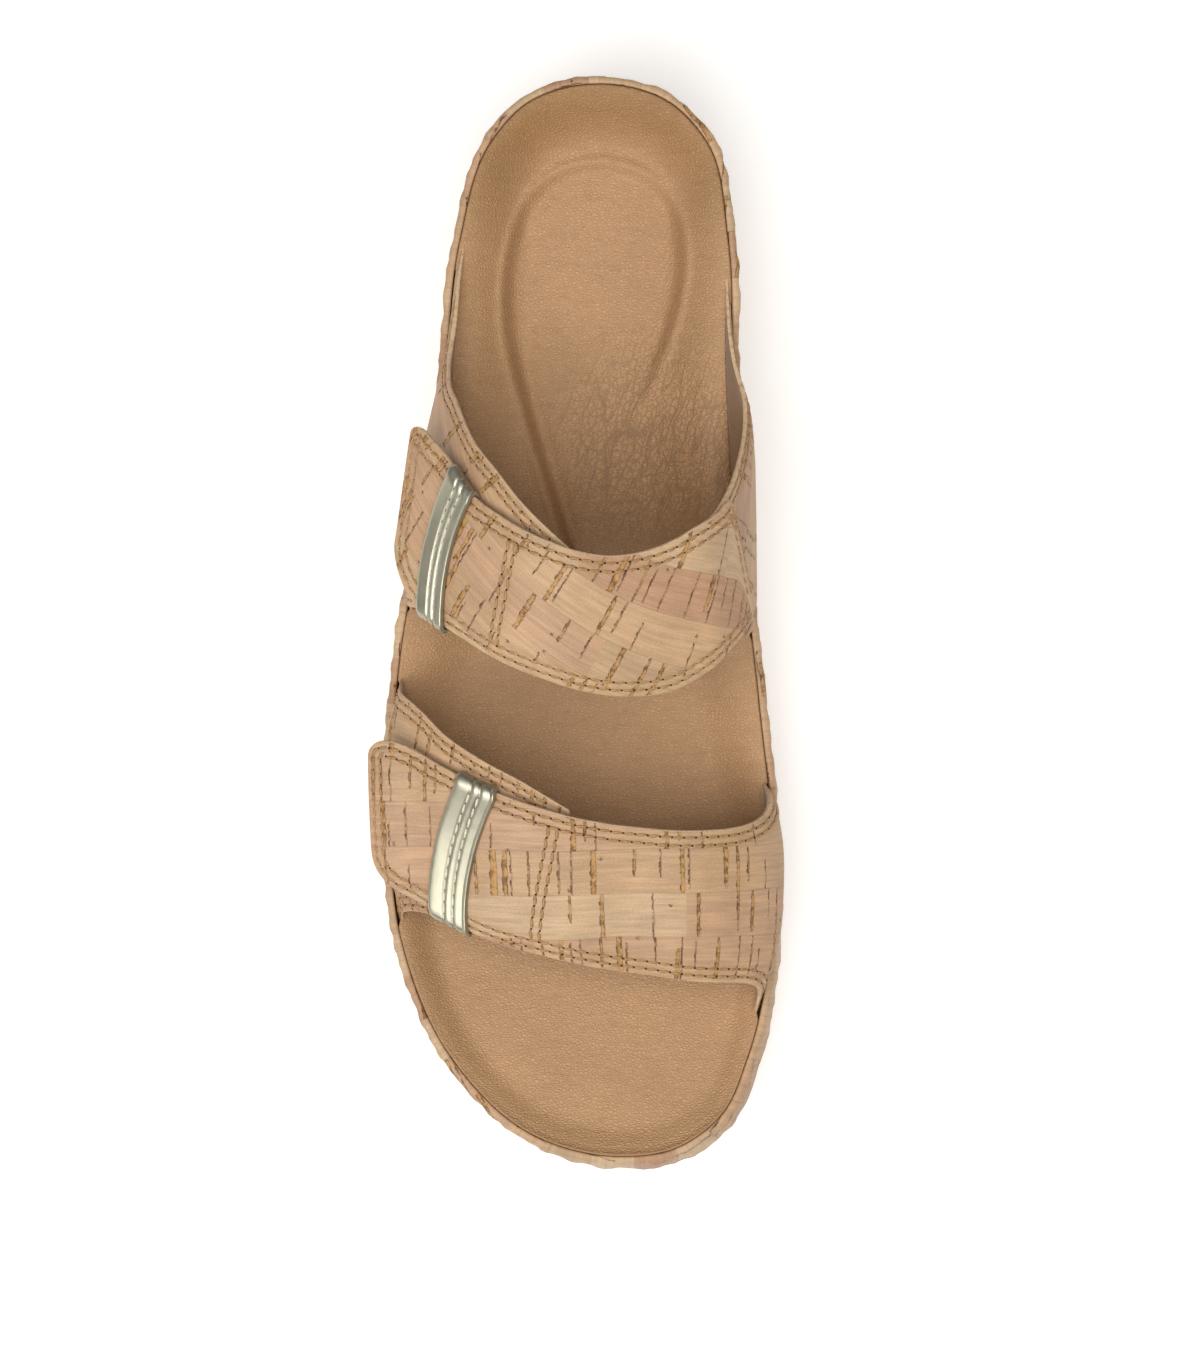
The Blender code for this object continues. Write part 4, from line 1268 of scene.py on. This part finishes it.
def distance_inside(points, loop):
    """Distance of plan points from a closed loop, positive inside it."""
    start, end = loop, np.roll(loop, -1, 0)
    best = np.full(len(points), np.inf)
    inside = np.zeros(len(points), bool)
    for (a0, x0), (a1, x1) in zip(start, end):
        step = np.array([a1 - a0, x1 - x0])
        t = np.clip(((points - (a0, x0)) @ step) / (step @ step), 0, 1)
        best = np.minimum(best, np.linalg.norm(points - (a0, x0) - t[:, None] * step, axis=1))
        spans = (points[:, 0] < a0) != (points[:, 0] < a1)
        if a1 != a0:
            inside ^= spans & (points[:, 1] < x0 + (points[:, 0] - a0) / (a1 - a0) * (x1 - x0))
    return np.where(inside, best, -best)


PAD_LOOP = smooth_loop(PAD_OUTLINE, 6)


def footbed_top(plan, depth):
    """Top of the footbed: cupped heel with its pressed pad and bead, arch, outer flank and toe rim."""
    along, across = plan[:, 0], plan[:, 1]
    rim, seat = lip_z(along) + FOOTBED_PROUD, seat_z(along)
    height = seat + (rim - seat) * ease(1 - depth / cup_width(along))
    for mound in MOUNDS:
        away = ((along - mound.along) / mound.length) ** 2 + ((across - mound.across) / mound.width) ** 2
        height = height + mound.rise * np.exp(-away) * ease(depth / MOUND_RISES)
    pad = distance_inside(plan, PAD_LOOP)
    step = (across - pad_step(along)) * STEP_LEAN
    opened = onset(along, *PAD_OPENS)
    ending = 1 - onset(along, *PAD_ENDS)
    sunk = (1 - opened) * ease((pad + PAD_LEAD) / PAD_SLOPE) + opened * ease((step + PAD_LEAD) / PAD_SLOPE)
    outer_side = onset(-across, *OUTER_SIDE)
    edge = pad + (step - pad) * onset(along, *STEP_STARTS) * onset(-across, *STEP_SIDE)
    fading = ending * (1 - opened * (1 - outer_side))
    bead = PAD_BEAD * np.exp(-(((edge + BEAD_PLACE) / PAD_BEAD_WIDTH) ** 2)) * fading
    valley = PAD_VALLEY * np.exp(-(((edge - PAD_VALLEY_PLACE) / PAD_VALLEY_WIDTH) ** 2))
    valley = valley * onset(along, *VALLEY_STARTS) * outer_side * fading
    ridge = FLANK_RIDGE * np.exp(-((np.minimum(step + BEAD_PLACE, 0.0) / FLANK_RIDGE_WIDTH) ** 2))
    ridge = ridge * onset(along, *RIDGE_STARTS) * fading
    ridge = ridge * (1 - ease((step + BEAD_PLACE) / PAD_SLOPE)) * ease(depth / RIDGE_RISES)
    return height - PAD_DEPTH * sunk * ending * ease(depth / PAD_RISES) + bead - valley + ridge


def build_footbed():
    """Moulded footbed: leather top with a rolled edge, dropped into the wrap's tray."""
    along = RIM[:, 0]
    inner = np.arange(len(RIM)) <= SIDE_POINTS
    window = np.where(inner, strap_window(along, True), strap_window(along, False))
    whole = RIM[:, 2] + LIP_THICKNESS + FOOTBED_GAP
    inset = whole + window * BASE_THICKNESS
    rim, edge, low = ring(whole), ring(inset), ring(inset + FOOTBED_TAPER[0])
    spine = spine_of(rim)
    under, side = seat_z(along) - FOOTBED_THICKNESS, lip_z(along) + FOOTBED_PROUD
    loops = fan(spine, low, (0.02, 0.4, 0.8), lambda place: seat_z(place) - FOOTBED_THICKNESS)
    loops.append(at_height(low, under))
    foot = under + FOOTBED_TAPER[1]
    loops += [at_height(edge, foot + (side - FOOTBED_EDGE_ROUND - foot) * share) for share in (0.0, 0.5, 1.0)]
    inward = FOOTBED_EDGE_ROUND * FOOTBED_ROLL
    for angle in (25, 50, 72):
        turn = math.radians(angle)
        height = side - FOOTBED_EDGE_ROUND * (1 - math.sin(turn))
        loops.append(at_height(ring(inset + inward * (1 - math.cos(turn))), height))
    start = ring(inset + inward)
    for share in (*np.linspace(0, 0.2, 9), *np.linspace(0.22, 1.0, 47)):
        plan = start + (spine - start) * share
        loops.append(at_height(plan, footbed_top(plan, np.linalg.norm(plan - rim, axis=1))))
    piece = plan_piece("footbed_cover", loops, spine, footbed_leather())
    finish_piece(piece, "footbed")


def corner_cut(gone, radius):
    """How much a round corner takes off an edge, this far from the free end."""
    left = np.maximum(0.0, radius - np.maximum(gone, 0.0))
    return radius - np.sqrt(np.maximum(0.0, radius**2 - left**2))


def edges_at(pattern, turn):
    """Rear and front edge of a cut piece at turns, with the corners of its free end rounded."""
    turn = np.asarray(turn, float)
    rear = column(pattern.table, "turn", "rear")(turn)
    front = column(pattern.table, "turn", "front")(turn)
    if pattern.corners:
        gone = (turn - pattern.table[0].turn) * TURN_LENGTH
        rear = rear + corner_cut(gone, pattern.corners[0])
        front = front - corner_cut(gone, pattern.corners[1])
    return rear, front


def face_height(pattern, along, turn, level):
    """Height over the foot of a place in a piece's thickness: 0 on its inner face, 1 on its outer face."""
    ride = column(pattern.ride, "turn", "height")(turn)
    return ride + wall_thickness(along, turn, pattern.thickness) * level


def skived(inset):
    """How much thinner the cloth is this far from its cut edge, where it is skived for the seam."""
    return EDGE_SKIVE * (1 - ease(inset / EDGE_ZONE))


def edge_squeeze(width):
    """Share of its full depth that the edge zone has in a piece of that width."""
    return np.minimum(1.0, EDGE_SHARE * width / EDGE_ZONE)


def thinned(pattern, along, turn):
    """How much lower than its full thickness a piece's outer face lies at places near its cut edges."""
    rear, front = edges_at(pattern, turn)
    squeeze = edge_squeeze(front - rear)
    dip = skived(np.minimum(along - rear, front - along) / squeeze)
    if pattern.corners:
        dip = np.maximum(dip, skived((turn - pattern.table[0].turn) * TURN_LENGTH))
    return dip


def section_rows():
    """Section of a cut piece's face, rear to front: width share, distance from the edge, level, dip."""
    first, second = sizes().first_row / MM, sizes().second_row / MM
    rows = []
    for angle in (0, 25, 50, 75, 90):
        turn = math.radians(angle)
        inset = EDGE_ROUND * (1 - math.cos(turn))
        rows.append((0.0, inset, (1 + math.sin(turn)) / 2, skived(inset) * math.sin(turn)))
    dips = [[row - STITCH_DIP_HALF, row, row + STITCH_DIP_HALF] for row in (first, second)]
    for inset in (0.8, *dips[0], (first + second) / 2, *dips[1]):
        rows.append((0.0, inset, 1.0, skived(inset) + (STITCH_DIP if inset in (first, second) else 0.0)))
    mirrored = [(1.0 - share, -inset, level, dip) for share, inset, level, dip in rows[::-1]]
    face = [(share, EDGE_ZONE * (1 - 2 * share), 1.0, 0.0) for share in np.linspace(0, 1, FACE_ROWS)]
    return np.array(rows + face + mirrored)


def turn_stops(table):
    """Turns of a piece's sections, close together at its rounded ends."""
    start, end = table[0].turn, table[-1].turn
    near = np.array(END_STOPS) / TURN_LENGTH
    count = int((end - start) * TURN_LENGTH / TURN_STEP)
    middle = np.linspace(start + END_ZONE / TURN_LENGTH, end - END_ZONE / TURN_LENGTH, count)
    return np.concatenate([start + near, middle, (end - near)[::-1]])


def build_cut_piece(pattern):
    """Piece of the upper cut from cork cloth and lined: both faces, rounded cut edges and closed ends."""
    turns = turn_stops(pattern.table)
    half = section_rows()
    rear, front = edges_at(pattern, turns)
    width = front - rear
    squeeze = edge_squeeze(width)
    along = rear[:, None] + width[:, None] * half[None, :, 0] + half[None, :, 1] * squeeze[:, None]
    turn = np.broadcast_to(turns[:, None], along.shape)
    gone = np.minimum(turns - turns[0], turns[-1] - turns) * TURN_LENGTH
    closing = np.sqrt(1 - (1 - np.clip(gone / EDGE_ROUND, 0, 1)) ** 2)[:, None]
    waves = wander(turn * CLOTH_WAVES_PER_TURN, along / CLOTH_WAVE_LENGTH, pattern.shift)
    cloth = CLOTH_WAVE * waves
    end_skive = skived((turns - turns[0]) * TURN_LENGTH)[:, None] if pattern.corners else 0.0
    dip = np.maximum(half[None, :, 3], end_skive * (2 * half[None, :, 2] - 1))
    faces = []
    for side, level in ((1, half[:, 2]), (-1, 1 - half[:, 2])):
        level = 0.5 + (level[None, :] - 0.5) * closing
        height = face_height(pattern, along, turn, level)
        if side > 0:
            height = height - (dip - cloth * onset(level, *CLOTH_LEVELS)) * closing
        faces.append(over_foot(along, turn, height))
    outer, inner = faces
    points = np.concatenate([outer, inner[:, ::-1][:, 1:]], axis=1)
    middle = half.shape[0] // 2
    over = run_length(outer, axis=1)
    over = over - over[:, middle : middle + 1] + pattern.drift * along[:, middle : middle + 1]
    over = np.concatenate([over, over[:, ::-1][:, 1:]], axis=1)
    walk = np.broadcast_to(run_length(outer[:, middle])[:, None], over.shape)
    skew = math.radians(pattern.skew)
    u = walk * math.cos(skew) + over * math.sin(skew) + pattern.shift * SHIFT_ALONG
    v = over * math.cos(skew) - walk * math.sin(skew) + pattern.shift
    uv = np.stack([u.T, v.T], -1) * MM
    numbers = face_numbers(pattern, turns, half)
    materials = [shared(maker) for maker in (cork_fabric, backing_edge, suede_lining, hook_tape)]
    piece = cut_sheet(pattern.name + "_cloth", to_frame(points).transpose(1, 0, 2), uv, materials, numbers)
    finish_piece(piece, pattern.name)


def face_numbers(pattern, turns, half):
    """Material number of each face of a cut piece: cork cloth, cut edge, lining or hook tape."""
    cloth, edge, lining, tape = 0, 1, 2, 3
    count = half.shape[0]
    rows = np.full(2 * count - 2, lining)
    rows[: count - 1] = cloth
    rows[:2] = rows[-3:] = edge
    rows[count - 3 : count + 2] = edge
    numbers = np.repeat(rows[:, None], len(turns) - 1, axis=1)
    if pattern.tab_end is not None:
        under_tab = (turns[:-1] < pattern.tab_end)[None, :] & (rows == lining)[:, None]
        numbers = np.where(under_tab, tape, numbers)
    return numbers


def edge_run(pattern, edge, start, end, inset):
    """(along, turn) line at a distance inside a piece's edge; "round" goes round the free end of a strap."""
    turns = np.linspace(start, end, LINE_POINTS)
    if edge == "round":
        near = start + np.linspace(0, 1, SHORT_LINE_POINTS) ** 2 * ROUND_REACH / TURN_LENGTH
        turns = np.unique(np.concatenate([near, turns]))
    rear, front = edges_at(pattern, turns)
    if edge == "rear":
        return rear + inset, turns
    if edge == "front":
        return front - inset, turns
    reach = (turns - start) * TURN_LENGTH
    line = np.concatenate([np.column_stack([reach, rear])[::-1], np.column_stack([reach, front])])
    line = evenly(line, LOOP_POINTS)
    step = np.gradient(line, axis=0)
    step /= np.maximum(np.linalg.norm(step, axis=1), 1e-9)[:, None]
    moved = line + np.column_stack([step[:, 1], -step[:, 0]]) * inset
    moved = moved[moved[:, 0] < (end - start) * TURN_LENGTH - inset]
    return moved[:, 1], start + moved[:, 0] / TURN_LENGTH


def seam_run(pattern, turn_rear, turn_front, aside):
    """(along, turn) line that crosses a strap from its rear to its front edge."""
    share = np.linspace(0, 1, SHORT_LINE_POINTS)
    turn = turn_rear + (turn_front - turn_rear) * share + aside / TURN_LENGTH
    rear, front = edges_at(pattern, turn)
    inset = sizes().second_row / MM
    return rear + inset + (front - rear - 2 * inset) * share, turn


def stitch_places(pattern, along, turn, sunk):
    """Stitches and needle holes along a line of a cut piece, as spread_stitches gives them."""
    top = face_height(pattern, along, turn, 1.0) - thinned(pattern, along, turn)
    line = to_frame(over_foot(along, turn, top - sunk))
    normal = foot_normal(along, turn) * (1, -1, 1)
    return spread_stitches(line, normal)


def spread_stitches(line, normal):
    """Stitches along a line of the frame, and their needle holes, as places, directions, normals."""
    length = run_length(line)
    count = max(1, int(length[-1] / sizes().stitch_pitch))
    stops = np.linspace(0, length[-1], count + 1)
    between = (stops[1:] + stops[:-1]) / 2
    holes = rows_at(stops, length, line)
    upright = rows_at(between, length, normal)
    along = np.diff(holes, axis=0)
    along /= np.linalg.norm(along, axis=1)[:, None]
    chance = wander(np.arange(count) * SLANT_CHANGE, 0.0, length[-1] / MM)
    slant = np.radians(STITCH_SLANT + SLANT_SPREAD * chance)[:, None]
    slanted = along * np.cos(slant) + np.cross(upright, along) * np.sin(slant)
    next_along = along[np.minimum(np.arange(count + 1), count - 1)]
    stitches = (rows_at(between, length, line), slanted, upright)
    return stitches, (holes, next_along, rows_at(stops, length, normal))


def little_form(size, segments, rings):
    """Points and faces of a small rounded form of that size, modelled once for all its copies."""
    bpy.ops.mesh.primitive_uv_sphere_add(segments=segments, ring_count=rings, radius=0.5)
    form = bpy.context.active_object
    bpy.ops.transform.resize(value=size)
    bpy.ops.object.transform_apply(location=False, rotation=False, scale=True)
    points = np.array([v.co for v in form.data.vertices])
    faces = [list(p.vertices) for p in form.data.polygons]
    bpy.data.objects.remove(form, do_unlink=True)
    return points, faces


def sewing_forms(width, height, hole):
    """A stitch and a needle hole, sized by the thread's width."""
    stitch = little_form((width, width * height, sizes().stitch_length), segments=8, rings=6)
    return stitch, little_form(tuple(width * share for share in hole), segments=8, rings=4)


def copies_piece(name, form, places, made):
    """One piece from a small form's copies, its Z along each place's direction, its Y along the normal."""
    points, faces = form
    middle, along, normal = (np.concatenate(rows) for rows in zip(*places))
    side = np.cross(normal, along)
    side /= np.linalg.norm(side, axis=1)[:, None]
    axes = np.stack([side, np.cross(along, side), along], 1)
    spread = middle[:, None, :] + np.einsum("pk,nkc->npc", points, axes)
    joined = [[i + n * len(points) for i in face] for n in range(len(middle)) for face in faces]
    mesh = bpy.data.meshes.new(name)
    mesh.from_pydata(spread.reshape(-1, 3), [], joined)
    mesh.materials.append(made)
    mesh.shade_smooth()
    piece = bpy.data.objects.new(name, mesh)
    bpy.context.scene.collection.objects.link(piece)
    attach(piece, BODY)


def sew(name, found, forms, thread):
    """Stitches and needle holes of one piece, from the places found along its seams."""
    stitches, holes = zip(*found)
    copies_piece(name + "_stitches", forms[0], stitches, thread)
    copies_piece(name + "_needle_holes", forms[1], holes, shared(needle_hole))


def build_stitches():
    """Double rows of thread along the cut edges and the seams, with their needle holes."""
    found = {}
    for sewn in SEWN_EDGES:
        pattern = PATTERNS[sewn.pattern]
        for inset in (sizes().first_row / MM, sizes().second_row / MM):
            run = edge_run(pattern, sewn.edge, sewn.start, sewn.end, inset)
            found.setdefault(sewn.pattern, []).append(stitch_places(pattern, *run, STITCH_SINK * STITCH_DIP))
    for seam in CROSS_SEAMS:
        pattern = PATTERNS[seam.pattern]
        for aside in (-SEAM_HALF, SEAM_HALF):
            run = seam_run(pattern, seam.turn_rear, seam.turn_front, aside)
            found[seam.pattern].append(stitch_places(pattern, *run, 0.0))
    thread = sewing_thread("waxed_thread", "thread")
    forms = sewing_forms(sizes().thread_width, THREAD_HEIGHT, NEEDLE_HOLE)
    for name, places in found.items():
        sew(name, places, forms, thread)


def keeper_path():
    """Stops round a strap's section: share of the width, and angle of the band's normal there in degrees."""
    flat = np.linspace(0, 1, KEEPER_STOPS)
    bend = (70, 50, 30, 10, -10, -30, -50, -70)
    stops = [(share, 90) for share in flat] + [(1.0, angle) for angle in bend]
    stops += [(share, -90) for share in flat[::-1]] + [(0.0, angle) for angle in bend[::-1]]
    return np.array(stops + stops[:1])


def keeper_places(band, place, lift):
    """Points of a keeper: place runs across the band, lift is its share of the thickness over the strap."""
    pattern = PATTERNS[band.strap]
    stops = keeper_path()
    place, lift = np.asarray(place)[:, None], np.asarray(lift)[:, None]
    share, angle = stops[:, 0][None, :], np.radians(stops[:, 1])[None, :]
    middle = band.low + (band.high - band.low) * place
    turn = middle + band.slant * (share - 0.5) + band.bow * (1 - (2 * share - 1) ** 2)
    rear, front = edges_at(pattern, turn)
    round_in = STRAP_THICKNESS / 2
    centre = rear + round_in + (front - rear - 2 * round_in) * share
    below = np.sin(angle) < -0.2
    thick = np.where(below, KEEPER_LINING * np.minimum(1.0, lift), KEEPER_THICKNESS * lift)
    radius = round_in + FIT_GAP + thick
    along = centre + np.where(share > 0.5, 1.0, -1.0) * radius * np.cos(angle)
    ride = column(pattern.ride, "turn", "height")(turn)
    return along, turn, ride + round_in + radius * np.sin(angle)


keeper_rib = column(KEEPER_RIBS, "place", "height")


def build_keeper(band):
    """Gold band folded round a strap, with a rib between two sewn grooves and turned edges."""
    ribs = [rib.place for rib in KEEPER_RIBS]
    across = np.unique(np.concatenate([np.linspace(0, 1, KEEPER_COLUMNS), ribs]))
    place = np.concatenate([across, across[::-1], across[:1]])
    lift = np.concatenate([keeper_rib(across), np.zeros(len(across)), keeper_rib(across[:1])])
    along, turn, height = keeper_places(band, place, lift)
    points = to_frame(over_foot(along, turn, height))
    uv = np.stack([np.broadcast_to(place[:, None], along.shape), along], -1) * MM
    piece = cut_sheet(band.name + "_band", points, uv, [shared(gold_leather)])
    finish_piece(piece, band.name)


def build_keepers():
    """Both keepers, with pale thread in the two grooves of each."""
    thread = sewing_thread("keeper_thread", "gold_thread")
    forms = sewing_forms(sizes().thread_width * KEEPER_THREAD, KEEPER_THREAD_HEIGHT, KEEPER_NEEDLE_HOLE)
    for band in KEEPERS:
        build_keeper(band)
        found = []
        for groove in KEEPER_GROOVES:
            places = keeper_places(band, [groove], keeper_rib(np.array([groove])))
            along, turn, height = (rows[0, 1 : KEEPER_STOPS - 1] for rows in places)
            line = to_frame(over_foot(along, turn, height))
            found.append(spread_stitches(line, foot_normal(along, turn) * (1, -1, 1)))
        sew(band.name, found, forms, thread)


def build_upper():
    """All the pieces that are cut from cork cloth."""
    for pattern in CUT_PIECES:
        build_cut_piece(pattern)


def add_area_light(name, place, aim, width, power, fills=True, mirrors=True):
    """Square softbox at a place, turned to its aim; it fills the shade, mirrors as a highlight, or both."""
    light = bpy.data.lights.new(name, "AREA")
    light.shape = "SQUARE"
    light.size = width
    light.energy = power
    made = bpy.data.objects.new(name, light)
    made.visible_diffuse = fills
    made.visible_glossy = mirrors
    bpy.context.scene.collection.objects.link(made)
    made.location = place
    made.rotation_euler = (Vector(aim) - Vector(place)).to_track_quat("-Z", "Y").to_euler()


def build_stage():
    """Pale floor, soft lights and the camera straight above the shoe."""
    bpy.ops.mesh.primitive_grid_add(x_subdivisions=8, y_subdivisions=8, size=FLOOR_SIZE)
    floor = bpy.context.active_object
    floor.name = floor.data.name = "floor"
    floor.data.materials.append(studio_floor())
    scene = bpy.context.scene
    world = bpy.data.worlds.new("studio")
    world.use_nodes = True
    world.node_tree.nodes["Background"].inputs["Color"].default_value = (1.0, 1.0, 1.0, 1.0)
    world.node_tree.nodes["Background"].inputs["Strength"].default_value = WORLD_LIGHT
    scene.world = world
    add_area_light("key", (-0.14, -0.34, 1.5), (0.0, 0.0, 0.03), 1.6, 30.0)
    add_area_light("back", (-0.25, 0.95, 0.95), (0.0, 0.0, 0.05), 0.7, 0.4)
    add_area_light("outer card", (-0.85, -0.5, 0.75), (0.0, 0.0, 0.05), 0.9, 2.6, mirrors=False)
    add_area_light("inner card", (0.95, 0.1, 0.6), (0.0, 0.0, 0.05), 0.9, 1.8, mirrors=False)
    add_area_light("gleam", (-0.62, -0.42, 0.85), (0.0, 0.0, 0.05), 0.55, 4.4, fills=False)
    scene.view_settings.view_transform = "Standard"
    scene.view_settings.look = "None"
    camera = bpy.data.cameras.new("camera")
    camera.lens = LENS
    camera.sensor_width = 36.0
    camera.clip_start = 0.05
    camera.clip_end = 20.0
    viewer = bpy.data.objects.new("camera", camera)
    scene.collection.objects.link(viewer)
    viewer.location = (AXIS_X * MM, (AXIS_Y + CAMERA_SHIFT) * MM, CAMERA_HEIGHT)
    scene.camera = viewer


class SANDAL_OT_outsole(bpy.types.Operator):
    """Build the rubber outsole"""

    bl_idname = "sandal.outsole"
    bl_label = "Outsole"

    def execute(self, context):
        build_outsole()
        return {"FINISHED"}


class SANDAL_OT_wrap(bpy.types.Operator):
    """Build the cloth wrap of the wedge"""

    bl_idname = "sandal.wrap"
    bl_label = "Sole wrap"

    def execute(self, context):
        build_wrap()
        return {"FINISHED"}


class SANDAL_OT_footbed(bpy.types.Operator):
    """Build the moulded leather footbed"""

    bl_idname = "sandal.footbed"
    bl_label = "Footbed"

    def execute(self, context):
        build_footbed()
        return {"FINISHED"}


class SANDAL_OT_upper(bpy.types.Operator):
    """Build the straps, underlays and quarter from cork cloth"""

    bl_idname = "sandal.upper"
    bl_label = "Straps and side pieces"

    def execute(self, context):
        build_upper()
        return {"FINISHED"}


class SANDAL_OT_keepers(bpy.types.Operator):
    """Build the gold keepers and their stitches"""

    bl_idname = "sandal.keepers"
    bl_label = "Keepers"

    def execute(self, context):
        build_keepers()
        return {"FINISHED"}


class SANDAL_OT_stitches(bpy.types.Operator):
    """Sew the double rows of stitches"""

    bl_idname = "sandal.stitches"
    bl_label = "Stitches"

    def execute(self, context):
        build_stitches()
        return {"FINISHED"}


class SANDAL_OT_stage(bpy.types.Operator):
    """Add the floor, lights and camera"""

    bl_idname = "sandal.stage"
    bl_label = "Stage"

    def execute(self, context):
        build_stage()
        return {"FINISHED"}


OPERATORS = (
    SANDAL_OT_outsole,
    SANDAL_OT_wrap,
    SANDAL_OT_footbed,
    SANDAL_OT_upper,
    SANDAL_OT_keepers,
    SANDAL_OT_stitches,
    SANDAL_OT_stage,
)


class SANDAL_PT_pieces(bpy.types.Panel):
    """Sizes, colours and pieces of the sandal"""

    bl_idname = "SANDAL_PT_pieces"
    bl_label = "Slide sandal"
    bl_space_type = "VIEW_3D"
    bl_region_type = "UI"
    bl_category = "Sandal"

    def draw(self, context):
        for group in (context.scene.sandal_sizes, context.scene.sandal_colours):
            for name in group.__annotations__:
                self.layout.prop(group, name)
        for operator in OPERATORS:
            self.layout.operator(operator.bl_idname)


CLASSES = (SandalSizes, SandalColours, *OPERATORS, SANDAL_PT_pieces)


def register():
    """Registers the classes and puts the settings on the scene."""
    for item in CLASSES:
        bpy.utils.register_class(item)
    bpy.types.Scene.sandal_sizes = bpy.props.PointerProperty(type=SandalSizes)
    bpy.types.Scene.sandal_colours = bpy.props.PointerProperty(type=SandalColours)


def unregister():
    """Takes the settings off the scene and unregisters the classes."""
    del bpy.types.Scene.sandal_colours
    del bpy.types.Scene.sandal_sizes
    for item in reversed(CLASSES):
        bpy.utils.unregister_class(item)


def main():
    """Registers the classes and builds every piece in order."""
    register()
    bpy.ops.sandal.outsole()
    bpy.ops.sandal.wrap()
    bpy.ops.sandal.footbed()
    bpy.ops.sandal.upper()
    bpy.ops.sandal.keepers()
    bpy.ops.sandal.stitches()
    bpy.ops.sandal.stage()


if __name__ == "__main__":
    main()
